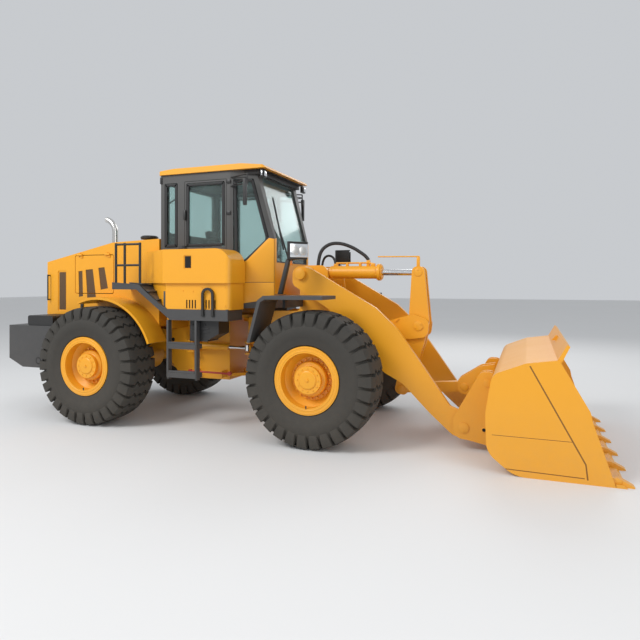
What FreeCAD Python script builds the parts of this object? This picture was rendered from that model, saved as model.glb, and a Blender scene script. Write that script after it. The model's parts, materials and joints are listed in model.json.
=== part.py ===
import FreeCAD
import Part
import math
import os
import re
from FreeCAD import Vector

# Wheel loader, hinged between its two frames. Millimetres, +X forward, +Y left, +Z up.
# Stations along X are measured from the middle of the wheelbase; every piece is then
# placed so that the origin is under the middle of the machine's length.

doc = FreeCAD.newDocument("WheelLoader")
sheet = doc.addObject("Spreadsheet::Sheet", "Sizes")

# Each row: alias, value in millimetres or degrees, what it is.
SIZES = (
    ("rear_end", -2880, "rear face of the counterweight"),
    ("tooth_tip", 4590, "tip of the bucket teeth"),
    ("rear_axle_x", -1500, "rear axle station"),
    ("front_axle_x", 1500, "front axle station"),
    ("track", 2060, "distance between wheel middles on one axle"),
    ("tyre_r", 746.5, "from a wheel's middle to the flat of a lug"),
    ("tyre_width", 521, "widest part of a tyre"),
    ("tread_width", 440, "width of the tread"),
    ("lug_depth", 32, "height of a lug above the tread base"),
    ("shoulder_r", 700, "radius of the carcass at the tread's edge"),
    ("belly_r", 560, "radius at which a tyre is widest"),
    ("rim_r", 317.5, "radius of the rim where the tyre seats"),
    ("flange_r", 368, "outer radius of the rim flange"),
    ("rim_half", 235, "half width of the rim over its flanges"),
    ("hub_r", 150, "radius of the hub cap drum"),
    ("hub_in", 60, "hub face towards the axle, from the wheel middle"),
    ("hub_out", 190, "hub face away from the axle, from the wheel middle"),
    ("seat_gap", 0.3, "gap between a turning face and its seat"),
    ("pin_gap", 0.05, "radial clearance of a pin in its bore"),
    ("axle_tube_r", 110, "axle tube radius"),
    ("axle_case_r", 200, "radius of the differential case"),
    ("axle_pad", 80, "half length of an axle seat pad"),
    ("axle_seat_z", 880, "underside of the frames where the axles bolt on"),
    ("pivot_x", 220, "articulation pivot station"),
    ("pivot_pin_r", 50, "articulation pin radius"),
    ("pivot_eye_r", 110, "radius of the eyes round the articulation pin"),
    ("hinge_plate", 40, "thickness of the hinge plates"),
    ("lower_hinge_z", 580, "middle of the rear frame's lower hinge plate"),
    ("upper_hinge_z", 1350, "middle of the rear frame's upper hinge plate"),
    ("hinge_step", 45, "height from a rear hinge plate to its front one"),
    ("rear_rail_y", 298, "middle of a rear frame side plate, clear of the steering cylinders"),
    ("front_rail_y", 320, "middle of a front frame side plate"),
    ("rear_rail", 30, "thickness of a rear frame side plate"),
    ("front_rail", 40, "thickness of a front frame side plate"),
    ("boom_pivot_x", 1170, "boom pivot station"),
    ("boom_pivot_z", 1900, "boom pivot height"),
    ("boom_arm_y", 570, "middle of a boom arm"),
    ("boom_arm", 60, "thickness of a boom arm"),
    ("bucket_pivot_x", 3070, "bucket pivot station"),
    ("bucket_pivot_z", 240, "bucket pivot height"),
    ("main_pin_r", 45, "radius of the main pins"),
    ("crank_pivot_x", 2490, "bellcrank pivot station"),
    ("crank_pivot_z", 1280, "bellcrank pivot height"),
    ("crank_top_x", 2480, "bellcrank upper pin station"),
    ("crank_top_z", 1920, "bellcrank upper pin height"),
    ("crank_low_x", 2270, "bellcrank lower pin station"),
    ("crank_low_z", 510, "bellcrank lower pin height"),
    ("link_pin_x", 3020, "link to bucket pin station"),
    ("link_pin_z", 580, "link to bucket pin height"),
    ("cheek_y", 75, "middle of a bellcrank cheek"),
    ("cheek", 40, "thickness of a bellcrank cheek"),
    ("eye_width", 96, "width of a rod or link eye between its cheeks"),
    ("tilt_base_x", 1260, "tilt cylinder base pin station"),
    ("tilt_base_z", 1930, "tilt cylinder base pin height"),
    ("tilt_barrel_r", 80, "tilt cylinder barrel radius"),
    ("tilt_rod_r", 38, "tilt cylinder rod radius"),
    ("tilt_barrel_end", 760, "from the tilt base pin to the barrel's end"),
    ("tilt_run_in", 387, "how far the tilt rod runs in from rest"),
    ("lift_base_x", 700, "lift cylinder base pin station"),
    ("lift_base_z", 650, "lift cylinder base pin height"),
    ("lift_eye_x", 1760, "lift rod eye station"),
    ("lift_eye_z", 1330, "lift rod eye height"),
    ("lift_y", 430, "middle of a lift cylinder"),
    ("lift_barrel_r", 70, "lift cylinder barrel radius"),
    ("lift_rod_r", 38, "lift cylinder rod radius"),
    ("lift_barrel_end", 1080, "from the lift base pin to the barrel's end"),
    ("lift_run_in", 20, "how far the lift rods run in from rest"),
    ("steer_base_x", -480, "steering cylinder base pin station"),
    ("steer_base_y", 400, "steering cylinder base pin, from the middle"),
    ("steer_eye_x", 350, "steering rod eye station"),
    ("steer_eye_y", 395, "steering rod eye, from the middle"),
    ("steer_z", 960, "height of the steering cylinders"),
    ("steer_barrel_r", 42, "steering cylinder barrel radius"),
    ("steer_rod_r", 22, "steering cylinder rod radius"),
    ("steer_barrel_end", 555, "from the steering base pin to the barrel's end"),
    ("steer_run_in", 228, "how far a steering rod runs in from rest"),
    ("cap_wall", 8, "thickness of a barrel's closed end"),
    ("bottom_gap", 3, "room left behind a rod that is fully in"),
    ("hood_half", 680, "half width of the hood"),
    ("hood_wall", 40, "thickness of the hood walls"),
    ("weight_top", 1225, "top of the counterweight"),
    ("exhaust_x", -2090, "exhaust pipe station"),
    ("exhaust_r", 42, "exhaust pipe radius"),
    ("exhaust_bend", 190, "bend radius of the exhaust pipe"),
    ("cleaner_x", -1470, "air precleaner station"),
    ("cleaner_stem_r", 55, "radius of the precleaner's stem"),
    ("hood_rear", -2700, "rear edge of the hood"),
    ("hood_front", -800, "front edge of the hood"),
    ("door_gap", 9, "gap round a door, wide enough for its inner edge to swing past"),
    ("recess", 8, "depth of the screened windows and the vents"),
    ("knuckle", 40, "length of a hinge knuckle"),
    ("knuckle_r", 14, "radius of a hinge knuckle"),
    ("hinge_pin_r", 8, "radius of a hinge pin"),
    ("hinge_off", 15, "from a wall's face to its hinge axis, clear of the knuckle"),
    ("bolster", 80, "thickness of the cross members that carry the cab and hood"),
    ("grille_thick", 50, "thickness of the radiator grille door"),
    ("cab_half", 680, "half width of the cab"),
    ("cab_wall", 50, "thickness of the cab walls"),
    ("cab_floor", 1480, "underside of the cab"),
    ("cab_top", 3190, "top of the cab walls"),
    ("cab_rear", -770, "rear face of the cab"),
    ("cab_front", 800, "front face of the cab at its foot"),
    ("cab_brow", 575, "front face of the cab at its top"),
    ("lean_z", 2340, "height where the cab's front starts to lean back"),
    ("corner_x", 250, "where the cab's sides start to draw in"),
    ("nose_half", 560, "half width of the cab's front face"),
    ("screen_half", 490, "half width of the windscreen"),
    ("screen_low", 2060, "lower edge of the windscreen"),
    ("screen_high", 3110, "upper edge of the windscreen"),
    ("glass", 8, "thickness of the glass"),
    ("roof_thick", 70, "thickness of the roof"),
    ("deck_out", 1035, "outer edge of the decks, from the middle"),
    ("tank_out", 1060, "outer face of the side tanks, from the middle"),
    ("tank_bottom", 1790, "underside of the side tanks"),
    ("tank_top", 2200, "top of the side tanks"),
    ("tank_nose", 460, "front end of the right-hand tank"),
    ("fuel_nose", -500, "front end of the left-hand tank, clear of the open cab door"),
    ("tank_turn", 200, "radius of the tank's upper front corner"),
    ("deck_top", 1470, "top of the step deck"),
    ("deck_thick", 130, "depth of the step deck"),
    ("fender_in", 840, "inner edge of a front fender, from the middle"),
    ("fender_out", 1285, "outer edge of a front fender, from the middle"),
    ("bucket_half", 1325, "half width of the bucket"),
    ("bucket_side", 30, "thickness of the bucket's side plates"),
    ("bucket_ear", 40, "thickness of a bucket ear"),
    ("ear_gap", 6, "gap between a boom arm and a bucket ear"),
)


class Values:
    pass


S = Values()
for row, (alias, value, note) in enumerate(SIZES, 1):
    sheet.set(f"A{row}", note)
    sheet.set(f"B{row}", str(value))
    sheet.setAlias(f"B{row}", alias)
    setattr(S, alias, float(value))
doc.recompute()

TO_ORIGIN = "-(rear_end + tooth_tip) / 2"
BODIES = []


def cells(expression):
    """Turn size names into references to the sheet."""
    return re.sub(r"[a-z][a-z0-9_]*", lambda found: "Sizes." + found.group(0), expression)


def new_body(label, at=("0", "0", "0")):
    """A body whose own origin stands at the given place, in stations."""
    body = doc.addObject("PartDesign::Body", label)
    body.Label = label
    x, y, z = at
    body.setExpression("Placement.Base.x", cells(f"{x} + {TO_ORIGIN}"))
    body.setExpression("Placement.Base.y", cells(y))
    body.setExpression("Placement.Base.z", cells(z))
    BODIES.append(body)
    return body


def outline(*corners):
    """A closed outline of straight sides, its corners rounded where a radius is given."""
    points = [Vector(c[0], c[1], 0) for c in corners]
    radii = [c[2] if len(c) > 2 else 0 for c in corners]
    starts, ends, arcs = [], [], []
    for i, point in enumerate(points):
        before = (points[i - 1] - point).normalize()
        after = (points[(i + 1) % len(points)] - point).normalize()
        if radii[i] == 0:
            starts.append(point)
            ends.append(point)
            arcs.append(None)
            continue
        half = before.getAngle(after) / 2
        reach = radii[i] / math.tan(half)
        middle = (before + after).normalize()
        start, end = point + before * reach, point + after * reach
        crown = point + middle * (radii[i] / math.sin(half) - radii[i])
        starts.append(start)
        ends.append(end)
        arcs.append(Part.Arc(start, crown, end))
    shapes = []
    for i in range(len(points)):
        if arcs[i]:
            shapes.append(arcs[i])
        following = (i + 1) % len(points)
        if (starts[following] - ends[i]).Length > 1e-6:
            shapes.append(Part.LineSegment(ends[i], starts[following]))
    return shapes


def ring(x, y, r):
    """A full circle."""
    return [Part.Circle(Vector(x, y, 0), Vector(0, 0, 1), r)]


def box(x0, x1, y0, y1, r=0):
    """A rectangle, with rounded corners if a radius is given."""
    return outline((x0, y0, r), (x1, y0, r), (x1, y1, r), (x0, y1, r))


def sketch(body, plane, loops, middle="0"):
    """A sketch of the given loops on one of the body's own planes, moved out to middle."""
    made = body.newObject("Sketcher::SketchObject", f"{body.Label}_sketch")
    datum = [f for f in body.Origin.OriginFeatures if f.Role == plane + "_Plane"][0]
    made.AttachmentSupport = (datum, [""])
    made.MapMode = "FlatFace"
    sign = "-" if plane == "XZ" else ""
    if middle != "0":
        made.setExpression("AttachmentOffset.Base.z", cells(f"{sign}({middle})"))
    for loop in loops:
        made.addGeometry(loop, False)
    return made


def slab(body, plane, middle, width, *loops):
    """Material of the given outline, as thick as width about the plane at middle."""
    feature = body.newObject("PartDesign::Pad", f"{body.Label}_pad")
    feature.Profile = sketch(body, plane, loops, middle)
    feature.Midplane = True
    feature.setExpression("Length", cells(width))
    return feature


def cut(body, plane, middle, width, *loops):
    """An opening of the given outline, as deep as width about the plane at middle."""
    feature = body.newObject("PartDesign::Pocket", f"{body.Label}_pocket")
    feature.Profile = sketch(body, plane, loops, middle)
    feature.Midplane = True
    feature.setExpression("Length", cells(width))
    return feature


def turned(body, plane, loop, axis, angle=360):
    """A turned piece: the loop revolved about the sketch's own H or V axis."""
    feature = body.newObject("PartDesign::Revolution", f"{body.Label}_revolution")
    profile = sketch(body, plane, [loop])
    feature.Profile = profile
    feature.ReferenceAxis = (profile, [axis + "_Axis"])
    feature.Angle = angle
    return feature


def hinge_pair(fixed, door, plane, axis, spots, fixed_leaf, door_leaf):
    """Knuckles round one axis: a pin and leaf on the fixed body, a bored knuckle on the door."""
    for spot in spots:
        slab(fixed, plane, f"{spot} - knuckle / 2", "knuckle", ring(*axis, S.knuckle_r))
        slab(fixed, plane, f"{spot} - knuckle / 2", "knuckle", fixed_leaf)
        slab(fixed, plane, str(spot), "2 * knuckle", ring(*axis, S.hinge_pin_r))
        bore = ring(*axis, S.hinge_pin_r + S.pin_gap)
        beside = f"{spot} + knuckle / 2 + seat_gap"
        slab(door, plane, beside, "knuckle", ring(*axis, S.knuckle_r), bore)
        slab(door, plane, beside, "knuckle", door_leaf)


SIDES = (("left", 1), ("right", -1))
ENDS = (("front", "front_axle_x"), ("rear", "rear_axle_x"))


LUGS = 20


def wheel_points(*marks):
    """Corners round a wheel's axis; each mark is an angle in degrees and a radius."""
    return [(r * math.cos(math.radians(a)), r * math.sin(math.radians(a))) for a, r in marks]


def facet_corners(radius):
    """Corners of a regular outline with two flats for each lug."""
    return wheel_points(*[(i * 180 / LUGS, radius) for i in range(2 * LUGS)])


def flat_faced(rings):
    """A closed solid of flat faces; each ring is a place along Y and its corners' radius."""
    loops = [[Vector(x, y, z) for x, z in facet_corners(r)] for y, r in rings]
    faces = [Part.Face(Part.makePolygon(loop + loop[:1])) for loop in (loops[0], loops[-1])]
    for near, far in zip(loops, loops[1:]):
        for i in range(2 * LUGS):
            wall = [near[i - 1], near[i], far[i], far[i - 1], near[i - 1]]
            faces.append(Part.Face(Part.makePolygon(wall)))
    return Part.Solid(Part.Shell(faces))


def lug_ring(turn):
    """The tread's outline across one row of lugs, flats down at a quarter turn."""
    pitch = 360 / LUGS
    top = S.tyre_r / math.cos(math.radians(pitch / 4))
    base = S.tyre_r - S.lug_depth
    marks = []
    for i in range(LUGS):
        middle = 270 + pitch * i + turn
        marks += [(middle - pitch * 0.36, base), (middle - pitch / 4, top)]
        marks += [(middle + pitch / 4, top), (middle + pitch * 0.36, base)]
    return outline(*wheel_points(*marks))


# Wheels: each stands in a body whose origin is the wheel's middle.
def tyre(label, at):
    body = new_body(label, at)
    bead = S.rim_half - 22
    half = S.tyre_width / 2
    tread = S.tread_width / 2
    rings = (
        (-bead, S.flange_r + 6), (-half, S.belly_r), (-tread, S.shoulder_r),
        (tread, S.shoulder_r), (half, S.belly_r), (bead, S.flange_r + 6),
    )
    carcass = doc.addObject("Part::Feature", f"{label}_carcass")
    carcass.Shape = flat_faced(rings)
    body.BaseFeature = carcass
    for _, side in SIDES:
        turn = 0 if side > 0 else 180 / LUGS
        inside = ring(0, 0, (S.belly_r + S.shoulder_r) / 2)
        slab(body, "XZ", f"{side} * tread_width / 4", "tread_width / 2", lug_ring(turn), inside)
    bore = (S.rim_r + S.seat_gap) / math.cos(math.pi / (2 * LUGS))
    cut(body, "XZ", "0", "2 * tyre_width", outline(*facet_corners(bore)))


def rim(label, at, side):
    body = new_body(label, at)
    bead = S.rim_half - 22
    inner = S.rim_r - 21.5
    turned(
        body, "XY",
        outline(
            (0, -S.hub_in * side), (inner, -S.hub_in * side), (inner, -bead * side),
            (S.rim_r, -bead * side), (S.rim_r, bead * side), (S.flange_r, bead * side),
            (S.flange_r, S.rim_half * side), (inner, S.rim_half * side),
            (inner, 120 * side), (235, S.hub_in * side), (S.hub_r, S.hub_in * side),
            (S.hub_r, S.hub_out * side), (0, S.hub_out * side),
        ),
        "V",
    )


for end, station in ENDS:
    for name, side in SIDES:
        place = (station, f"{side} * track / 2", "tyre_r")
        tyre(f"tyre_{end}_{name}", place)
        rim(f"rim_{end}_{name}", place, side)


# Axles: case, tapered tubes and hub flanges, with pads that bolt under the frame.
for end, station in ENDS:
    body = new_body(f"{end}_axle", (station, "0", "tyre_r"))
    reach = S.track / 2 - S.hub_in - S.seat_gap
    turned(
        body, "XY",
        outline(
            (0, -reach), (190, -reach), (190, 80 - reach), (S.axle_tube_r, 150 - reach),
            (S.axle_tube_r, -240), (S.axle_case_r, -110), (S.axle_case_r, 110),
            (S.axle_tube_r, 240), (S.axle_tube_r, reach - 150), (190, reach - 80),
            (190, reach), (0, reach),
        ),
        "V",
    )
    rail = "rear_rail_y" if end == "rear" else "front_rail_y"
    for name, side in SIDES:
        slab(
            body, "XY", "(axle_seat_z - tyre_r) / 2", "axle_seat_z - tyre_r",
            box(-S.axle_pad, S.axle_pad, side * (getattr(S, rail) - 60), side * (getattr(S, rail) + 60)),
        )

# Rear frame: two side plates, cross plates, and the eyes of the articulation.
body = new_body("rear_frame")
for _, side in SIDES:
    slab(
        body, "XZ", f"{side} * rear_rail_y", "rear_rail",
        outline(
            (-2640, 700), (-2640, 1160), (-790, 1160), (-450, 1370), (40, 1370),
            (40, 520), (-700, 520), (-1000, S.axle_seat_z), (-1900, S.axle_seat_z),
            (-2080, 700),
        ),
    )
for x, low, high in ((-2625, 700, 1160), (-2000, 780, 900), (-1000, 880, 1160), (25, 520, 1370)):
    slab(
        body, "YZ", str(x), "rear_rail",
        box(-S.rear_rail_y, S.rear_rail_y, low, high),
    )
# Cross members under the cab's rear and front edge and under the hood's front edge.
cab_seat = S.cab_floor - S.seat_gap
for x, low, high in ((-640, 1200, cab_seat), (-20, 1340, cab_seat), (-1100, 1140, S.weight_top)):
    slab(body, "YZ", str(x), "bolster", box(-S.cab_half, S.cab_half, low, high))
nose = (
    (30, -300), (30, 300), (S.pivot_x, 300 - S.pivot_eye_r * 1.5, 60),
    (S.pivot_x + S.pivot_eye_r, 110, 60), (S.pivot_x + S.pivot_eye_r, -110, 60),
    (S.pivot_x, S.pivot_eye_r * 1.5 - 300, 60),
)
for height in ("lower_hinge_z", "upper_hinge_z"):
    slab(body, "XY", height, "hinge_plate", outline(*nose))
slab(
    body, "XY", "lower_hinge_z + hinge_step / 2", "hinge_step + hinge_plate",
    ring(S.pivot_x, 0, S.pivot_pin_r),
)
slab(
    body, "XY", "upper_hinge_z - hinge_step / 2", "hinge_step + hinge_plate",
    ring(S.pivot_x, 0, S.pivot_pin_r),
)
for _, side in SIDES:
    for shelf in (-70, 70):
        slab(
            body, "XY", f"steer_z + {shelf}", "20",
            outline(
                (S.steer_base_x - 90, side * (S.rear_rail_y + 14)),
                (S.steer_base_x - 60, side * (S.steer_base_y + 60), 40),
                (S.steer_base_x + 60, side * (S.steer_base_y + 60), 40),
                (S.steer_base_x + 90, side * (S.rear_rail_y + 14)),
            ),
        )
    slab(
        body, "XY", "steer_z", "160",
        ring(S.steer_base_x, side * S.steer_base_y, 25),
    )

# Front frame: two tall side plates with the boom towers, cross plates and hinge plates.
body = new_body("front_frame")
for _, side in SIDES:
    slab(
        body, "XZ", f"{side} * front_rail_y", "front_rail",
        outline(
            (330, 520), (330, 1340), (700, 1440), (1050, 1440, 60), (1050, 2010, 90), (1400, 2010, 90),
            (1480, 1240), (1760, 960), (1700, S.axle_seat_z), (1290, S.axle_seat_z),
            (1150, 520),
        ),
    )
for x, low, high in ((350, 660, 1250), (1100, 540, 1300), (1460, 960, 1300)):
    slab(body, "YZ", str(x), "30", box(-S.front_rail_y, S.front_rail_y, low, high))
slab(
    body, "XY", "1290", "30",
    box(700, 1450, -S.front_rail_y, S.front_rail_y),
)
slab(
    body, "YZ", "tilt_base_x - 170", "60",
    box(-S.front_rail_y, S.front_rail_y, 1740, 1960),
)
plate = (
    (S.pivot_x - S.pivot_eye_r, -60, 50), (S.pivot_x - S.pivot_eye_r, 60, 50),
    (345, S.front_rail_y), (700, S.front_rail_y), (700, -S.front_rail_y), (345, -S.front_rail_y),
)
for height in ("lower_hinge_z + hinge_step", "upper_hinge_z - hinge_step"):
    slab(
        body, "XY", height, "hinge_plate",
        outline(*plate), ring(S.pivot_x, 0, S.pivot_pin_r + S.pin_gap),
    )
for _, side in SIDES:
    slab(
        body, "XZ", f"{side} * 75", "40",
        outline(
            (S.tilt_base_x - 150, 1750), (S.tilt_base_x - 150, 1950),
            (S.tilt_base_x - 70, S.tilt_base_z + 62, 60),
            (S.tilt_base_x + 62, S.tilt_base_z + 62, 60),
            (S.tilt_base_x + 62, S.tilt_base_z - 62, 60),
        ),
    )
    slab(
        body, "XZ", f"{side} * (boom_arm_y + front_rail_y) / 2 + {side} * 20",
        "boom_arm_y - front_rail_y + boom_arm + 20",
        ring(S.boom_pivot_x, S.boom_pivot_z, S.main_pin_r),
    )
    slab(
        body, "XZ", f"{side} * (boom_arm_y - boom_arm / 2 - ear_gap + front_rail_y) / 2",
        "boom_arm_y - boom_arm / 2 - ear_gap - front_rail_y",
        ring(S.boom_pivot_x, S.boom_pivot_z, 95),
    )
    slab(
        body, "XZ", f"{side} * (lift_y + front_rail_y) / 2", "lift_y - front_rail_y + 120",
        ring(S.lift_base_x, S.lift_base_z, 35),
    )
    for shelf in (-70, 70):
        slab(
            body, "XY", f"steer_z + {shelf}", "20",
            outline(
                (S.steer_eye_x - 15, side * (S.front_rail_y - 15)),
                (S.steer_eye_x - 40, side * (S.steer_eye_y + 45), 35),
                (S.steer_eye_x + 45, side * (S.steer_eye_y + 45), 35),
                (S.steer_eye_x + 130, side * (S.front_rail_y - 15)),
            ),
        )
slab(
    body, "XZ", "0", "2 * 75 + 40",
    ring(S.tilt_base_x, S.tilt_base_z, 40),
)


# Cylinders: each barrel stands in a body at its base pin with X along the rod.
def cylinder_pair(name, base, aim, width, sizes, twin=None):
    """A barrel and its rod: base and aim are pin places, sizes their radii and lengths."""
    barrel_r, rod_r, barrel_end, pin_r, eye_r, run_in = sizes
    start = eye_r + 25
    bottom = start + S.cap_wall
    rod_start = bottom + run_in + S.bottom_gap
    gap = aim - base
    length = gap.Length
    shifts = (0,) if twin is None else (twin, -twin)
    upright = name.startswith("steer")
    plane = "XY" if upright else "XZ"
    for piece in ("barrel", "rod"):
        label = f"{name}_{piece}" + ("s" if twin else "")
        body = doc.addObject("PartDesign::Body", label)
        body.Label = label
        BODIES.append(body)
        slope = math.atan2(gap.y, gap.x) if upright else -math.atan2(gap.z, gap.x)
        axis = Vector(0, 0, 1) if upright else Vector(0, 1, 0)
        shift = -(S.rear_end + S.tooth_tip) / 2
        turn = FreeCAD.Rotation(axis, math.degrees(slope))
        body.Placement = FreeCAD.Placement(base + Vector(shift, 0, 0), turn)
        for offset in shifts:
            if piece == "barrel":
                tube = ring(offset, 0, barrel_r)
                slab(body, "YZ", f"({barrel_end} + {start}) / 2", f"{barrel_end} - {start}", tube)
                slab(body, "YZ", f"{start / 2 + 1}", f"{start + 2}", ring(offset, 0, width * 0.45))
                slab(body, plane, f"{offset}", str(width), ring(0, 0, eye_r))
            else:
                eye, pin = ring(length, 0, eye_r), ring(length, 0, pin_r)
                rod_end = length - eye_r + 8
                rod = ring(offset, 0, rod_r)
                slab(body, "YZ", f"{(rod_end + rod_start) / 2}", f"{rod_end - rod_start}", rod)
                slab(body, plane, f"{offset}", str(width), eye, pin)
        for offset in shifts:
            if piece == "barrel":
                bore = ring(offset, 0, rod_r + S.pin_gap)
                cut(body, plane, f"{offset}", str(width + 2), ring(0, 0, pin_r + S.pin_gap))
                deep = barrel_end + 10 - bottom
                cut(body, "YZ", f"{bottom} + {deep} / 2", f"{deep}", bore)


cylinder_pair(
    "tilt", Vector(S.tilt_base_x, 0, S.tilt_base_z), Vector(S.crank_top_x, 0, S.crank_top_z),
    S.eye_width, (S.tilt_barrel_r, S.tilt_rod_r, S.tilt_barrel_end, 40, 60, S.tilt_run_in),
)
cylinder_pair(
    "lift", Vector(S.lift_base_x, 0, S.lift_base_z), Vector(S.lift_eye_x, 0, S.lift_eye_z),
    70, (S.lift_barrel_r, S.lift_rod_r, S.lift_barrel_end, 35, 62, S.lift_run_in), S.lift_y,
)
for side_name, side in SIDES:
    cylinder_pair(
        f"steer_{side_name}", Vector(S.steer_base_x, side * S.steer_base_y, S.steer_z),
        Vector(S.steer_eye_x, side * S.steer_eye_y, S.steer_z),
        70, (S.steer_barrel_r, S.steer_rod_r, S.steer_barrel_end, 25, 40, S.steer_run_in),
    )

# Boom: two bent arms, the cross tube between them and the bellcrank's bracket.
body = new_body("boom")
arm = outline(
    (1060, 1770, 80), (1060, 2020, 100), (1300, 1960, 200), (2090, 1505, 60), (2340, 1270, 300),
    (2620, 880, 300), (2920, 450, 60), (3190, 345, 80), (3190, 130, 90), (2960, 130, 120),
    (2700, 360, 60), (2400, 665, 200), (2180, 780, 200), (1900, 1130, 60), (1500, 1500, 300),
)
for _, side in SIDES:
    slab(
        body, "XZ", f"{side} * boom_arm_y", "boom_arm",
        arm,
        ring(S.boom_pivot_x, S.boom_pivot_z, S.main_pin_r + S.pin_gap),
        ring(S.bucket_pivot_x, S.bucket_pivot_z, S.main_pin_r + S.pin_gap),
    )
    slab(
        body, "XZ", f"{side} * 125", "35",
        outline(
            (2080, 1320, 40), (2430, 1420, 100), (2620, 1350, 80), (2600, 1150, 80),
            (2400, 1120, 80), (2090, 1120, 40),
        ),
    )
    slab(
        body, "XZ", f"{side} * (boom_arm_y - boom_arm / 2 - 25)", "50",
        ring(S.lift_eye_x, S.lift_eye_z, 60),
    )
slab(body, "XZ", "0", "2 * boom_arm_y", ring(2150, 1210, 90))
slab(body, "XZ", "0", "290", ring(S.crank_pivot_x, S.crank_pivot_z, S.main_pin_r))

# Bellcrank: two cheeks on one hub.
body = new_body("bellcrank")
hub = ring(S.crank_pivot_x, S.crank_pivot_z, S.main_pin_r + S.pin_gap)
slab(
    body, "XZ", "0", "2 * cheek_y + cheek",
    ring(S.crank_pivot_x, S.crank_pivot_z, 100), hub,
)
for _, side in SIDES:
    slab(
        body, "XZ", f"{side} * cheek_y", "cheek",
        outline(
            (S.crank_top_x - 72, S.crank_top_z + 72, 66), (S.crank_top_x + 72, S.crank_top_z + 72, 66),
            (S.crank_pivot_x + 125, S.crank_pivot_z + 40, 200), (S.crank_pivot_x + 60, 1060, 300),
            (S.crank_low_x + 72, S.crank_low_z - 75, 66), (S.crank_low_x - 85, S.crank_low_z - 60, 66),
            (S.crank_pivot_x - 130, S.crank_pivot_z - 40, 200),
        ),
        hub,
    )
slab(
    body, "XZ", "0", "2 * cheek_y + cheek",
    ring(S.crank_low_x, S.crank_low_z, 35),
)

# Link from the bellcrank to the bucket.
body = new_body("bucket_link")
slab(
    body, "XZ", "0", "eye_width",
    outline(
        (S.crank_low_x - 62, S.crank_low_z - 62, 58), (S.link_pin_x + 62, S.link_pin_z - 56, 58),
        (S.link_pin_x + 62, S.link_pin_z + 62, 58), (S.crank_low_x - 62, S.crank_low_z + 56, 58),
    ),
    ring(S.crank_low_x, S.crank_low_z, 35 + S.pin_gap),
    ring(S.link_pin_x, S.link_pin_z, 35),
)

# Bucket: rolled shell between side plates, with ears for the boom and the link.
body = new_body("bucket")
shell = outline(
    (4440, 0), (3600, 0, 300), (3350, 200, 200), (3340, 560, 260), (3400, 930, 120),
    (3700, 1050, 100), (3970, 1090), (4050, 1230), (4075, 1215), (4000, 1060),
    (3705, 1018, 70), (3430, 905, 90), (3372, 560, 230), (3382, 215, 170),
    (3610, 30, 270), (4440, 30),
)
slab(body, "XZ", "0", "2 * bucket_half - bucket_side", shell)
for _, side in SIDES:
    slab(
        body, "XZ", f"{side} * (bucket_half - bucket_side / 2)", "bucket_side",
        outline(
            (4440, 0), (3600, 0, 300), (3350, 200, 200), (3340, 560, 260), (3400, 930, 120),
            (3700, 1050, 60), (3985, 1090, 20), (4240, 640, 60), (4255, 560, 60),
        ),
    )
    for offset in (-1, 1):
        slab(
            body, "XZ",
            f"{side} * boom_arm_y + {offset} * (boom_arm / 2 + ear_gap + bucket_ear / 2)", "bucket_ear",
            outline(
                (2960, 340, 90), (2960, 130, 100), (3130, 110, 80), (3480, 40), (3480, 110),
                (3380, 217), (3362, 400), (3400, 850, 60), (3250, 850, 80),
            ),
        )
    slab(
        body, "XZ", f"{side} * boom_arm_y", "boom_arm + 2 * ear_gap + 2 * bucket_ear",
        ring(S.bucket_pivot_x, S.bucket_pivot_z, S.main_pin_r),
    )
    slab(
        body, "XZ", f"{side} * cheek_y", "cheek",
        outline(
            (S.link_pin_x - 75, S.link_pin_z - 75, 70), (S.link_pin_x + 60, S.link_pin_z - 90, 60),
            (3360, 330), (3360, 860), (3200, 830, 80), (S.link_pin_x - 75, S.link_pin_z + 85, 70),
        ),
    )

# Cutting edge plate and teeth.
body = new_body("bucket_teeth")
slab(
    body, "XZ", "0", "2 * bucket_half",
    outline((4440, 0), (4440, 30), (4500, 30), (4530, 0)),
)
for y in (-1250, -750, -250, 250, 750, 1250):
    slab(
        body, "XZ", str(y), "90",
        outline((4300, 30), (4400, 75), (4480, 70), (4590, 12), (4590, 0), (4500, 0), (4500, 30)),
    )

# Counterweight, wrapped round the tails of the side plates and hollowed for the tyres.
body = new_body("counterweight")
arch = 800
rise = S.weight_top - S.tyre_r
back = math.sqrt(arch ** 2 - rise ** 2)
drop = S.tyre_r - 670
low = math.sqrt(arch ** 2 - drop ** 2)
mid = math.radians(170)
profile = [
    Part.LineSegment(Vector(S.rear_end, S.weight_top, 0), Vector(S.rear_axle_x - back, S.weight_top, 0)),
    Part.Arc(
        Vector(S.rear_axle_x - back, S.weight_top, 0),
        Vector(S.rear_axle_x + arch * math.cos(mid), S.tyre_r + arch * math.sin(mid), 0),
        Vector(S.rear_axle_x - low, 670, 0),
    ),
    Part.LineSegment(Vector(S.rear_axle_x - low, 670, 0), Vector(-2640, 670, 0)),
    Part.LineSegment(Vector(-2640, 670, 0), Vector(S.rear_end, 780, 0)),
    Part.LineSegment(Vector(S.rear_end, 780, 0), Vector(S.rear_end, S.weight_top, 0)),
]
slab(body, "XZ", "0", "2300", profile)
cut(body, "XZ", "0", "2 * rear_rail_y + rear_rail + 4", box(-2640, -1900, 600, 1300))
cut(body, "XZ", "0", "260", box(S.rear_end - 10, S.rear_end + 140, 600, 965))

# Tow hitch: two ears with an upright bore behind the counterweight.
body = new_body("tow_hitch")
for z in (790, 930):
    slab(
        body, "XY", str(z), "30",
        box(S.rear_end + 10, S.rear_end + 140, -80, 80),
        ring(S.rear_end + 65, 0, 25),
    )

# Engine: one plain block for the mass.
body = new_body("engine_block")
slab(body, "XZ", "0", "2 * rear_rail_y - rear_rail", box(-2400, -1150, 960, 1900))

HOOD_BOTTOM = S.weight_top + S.seat_gap
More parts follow.
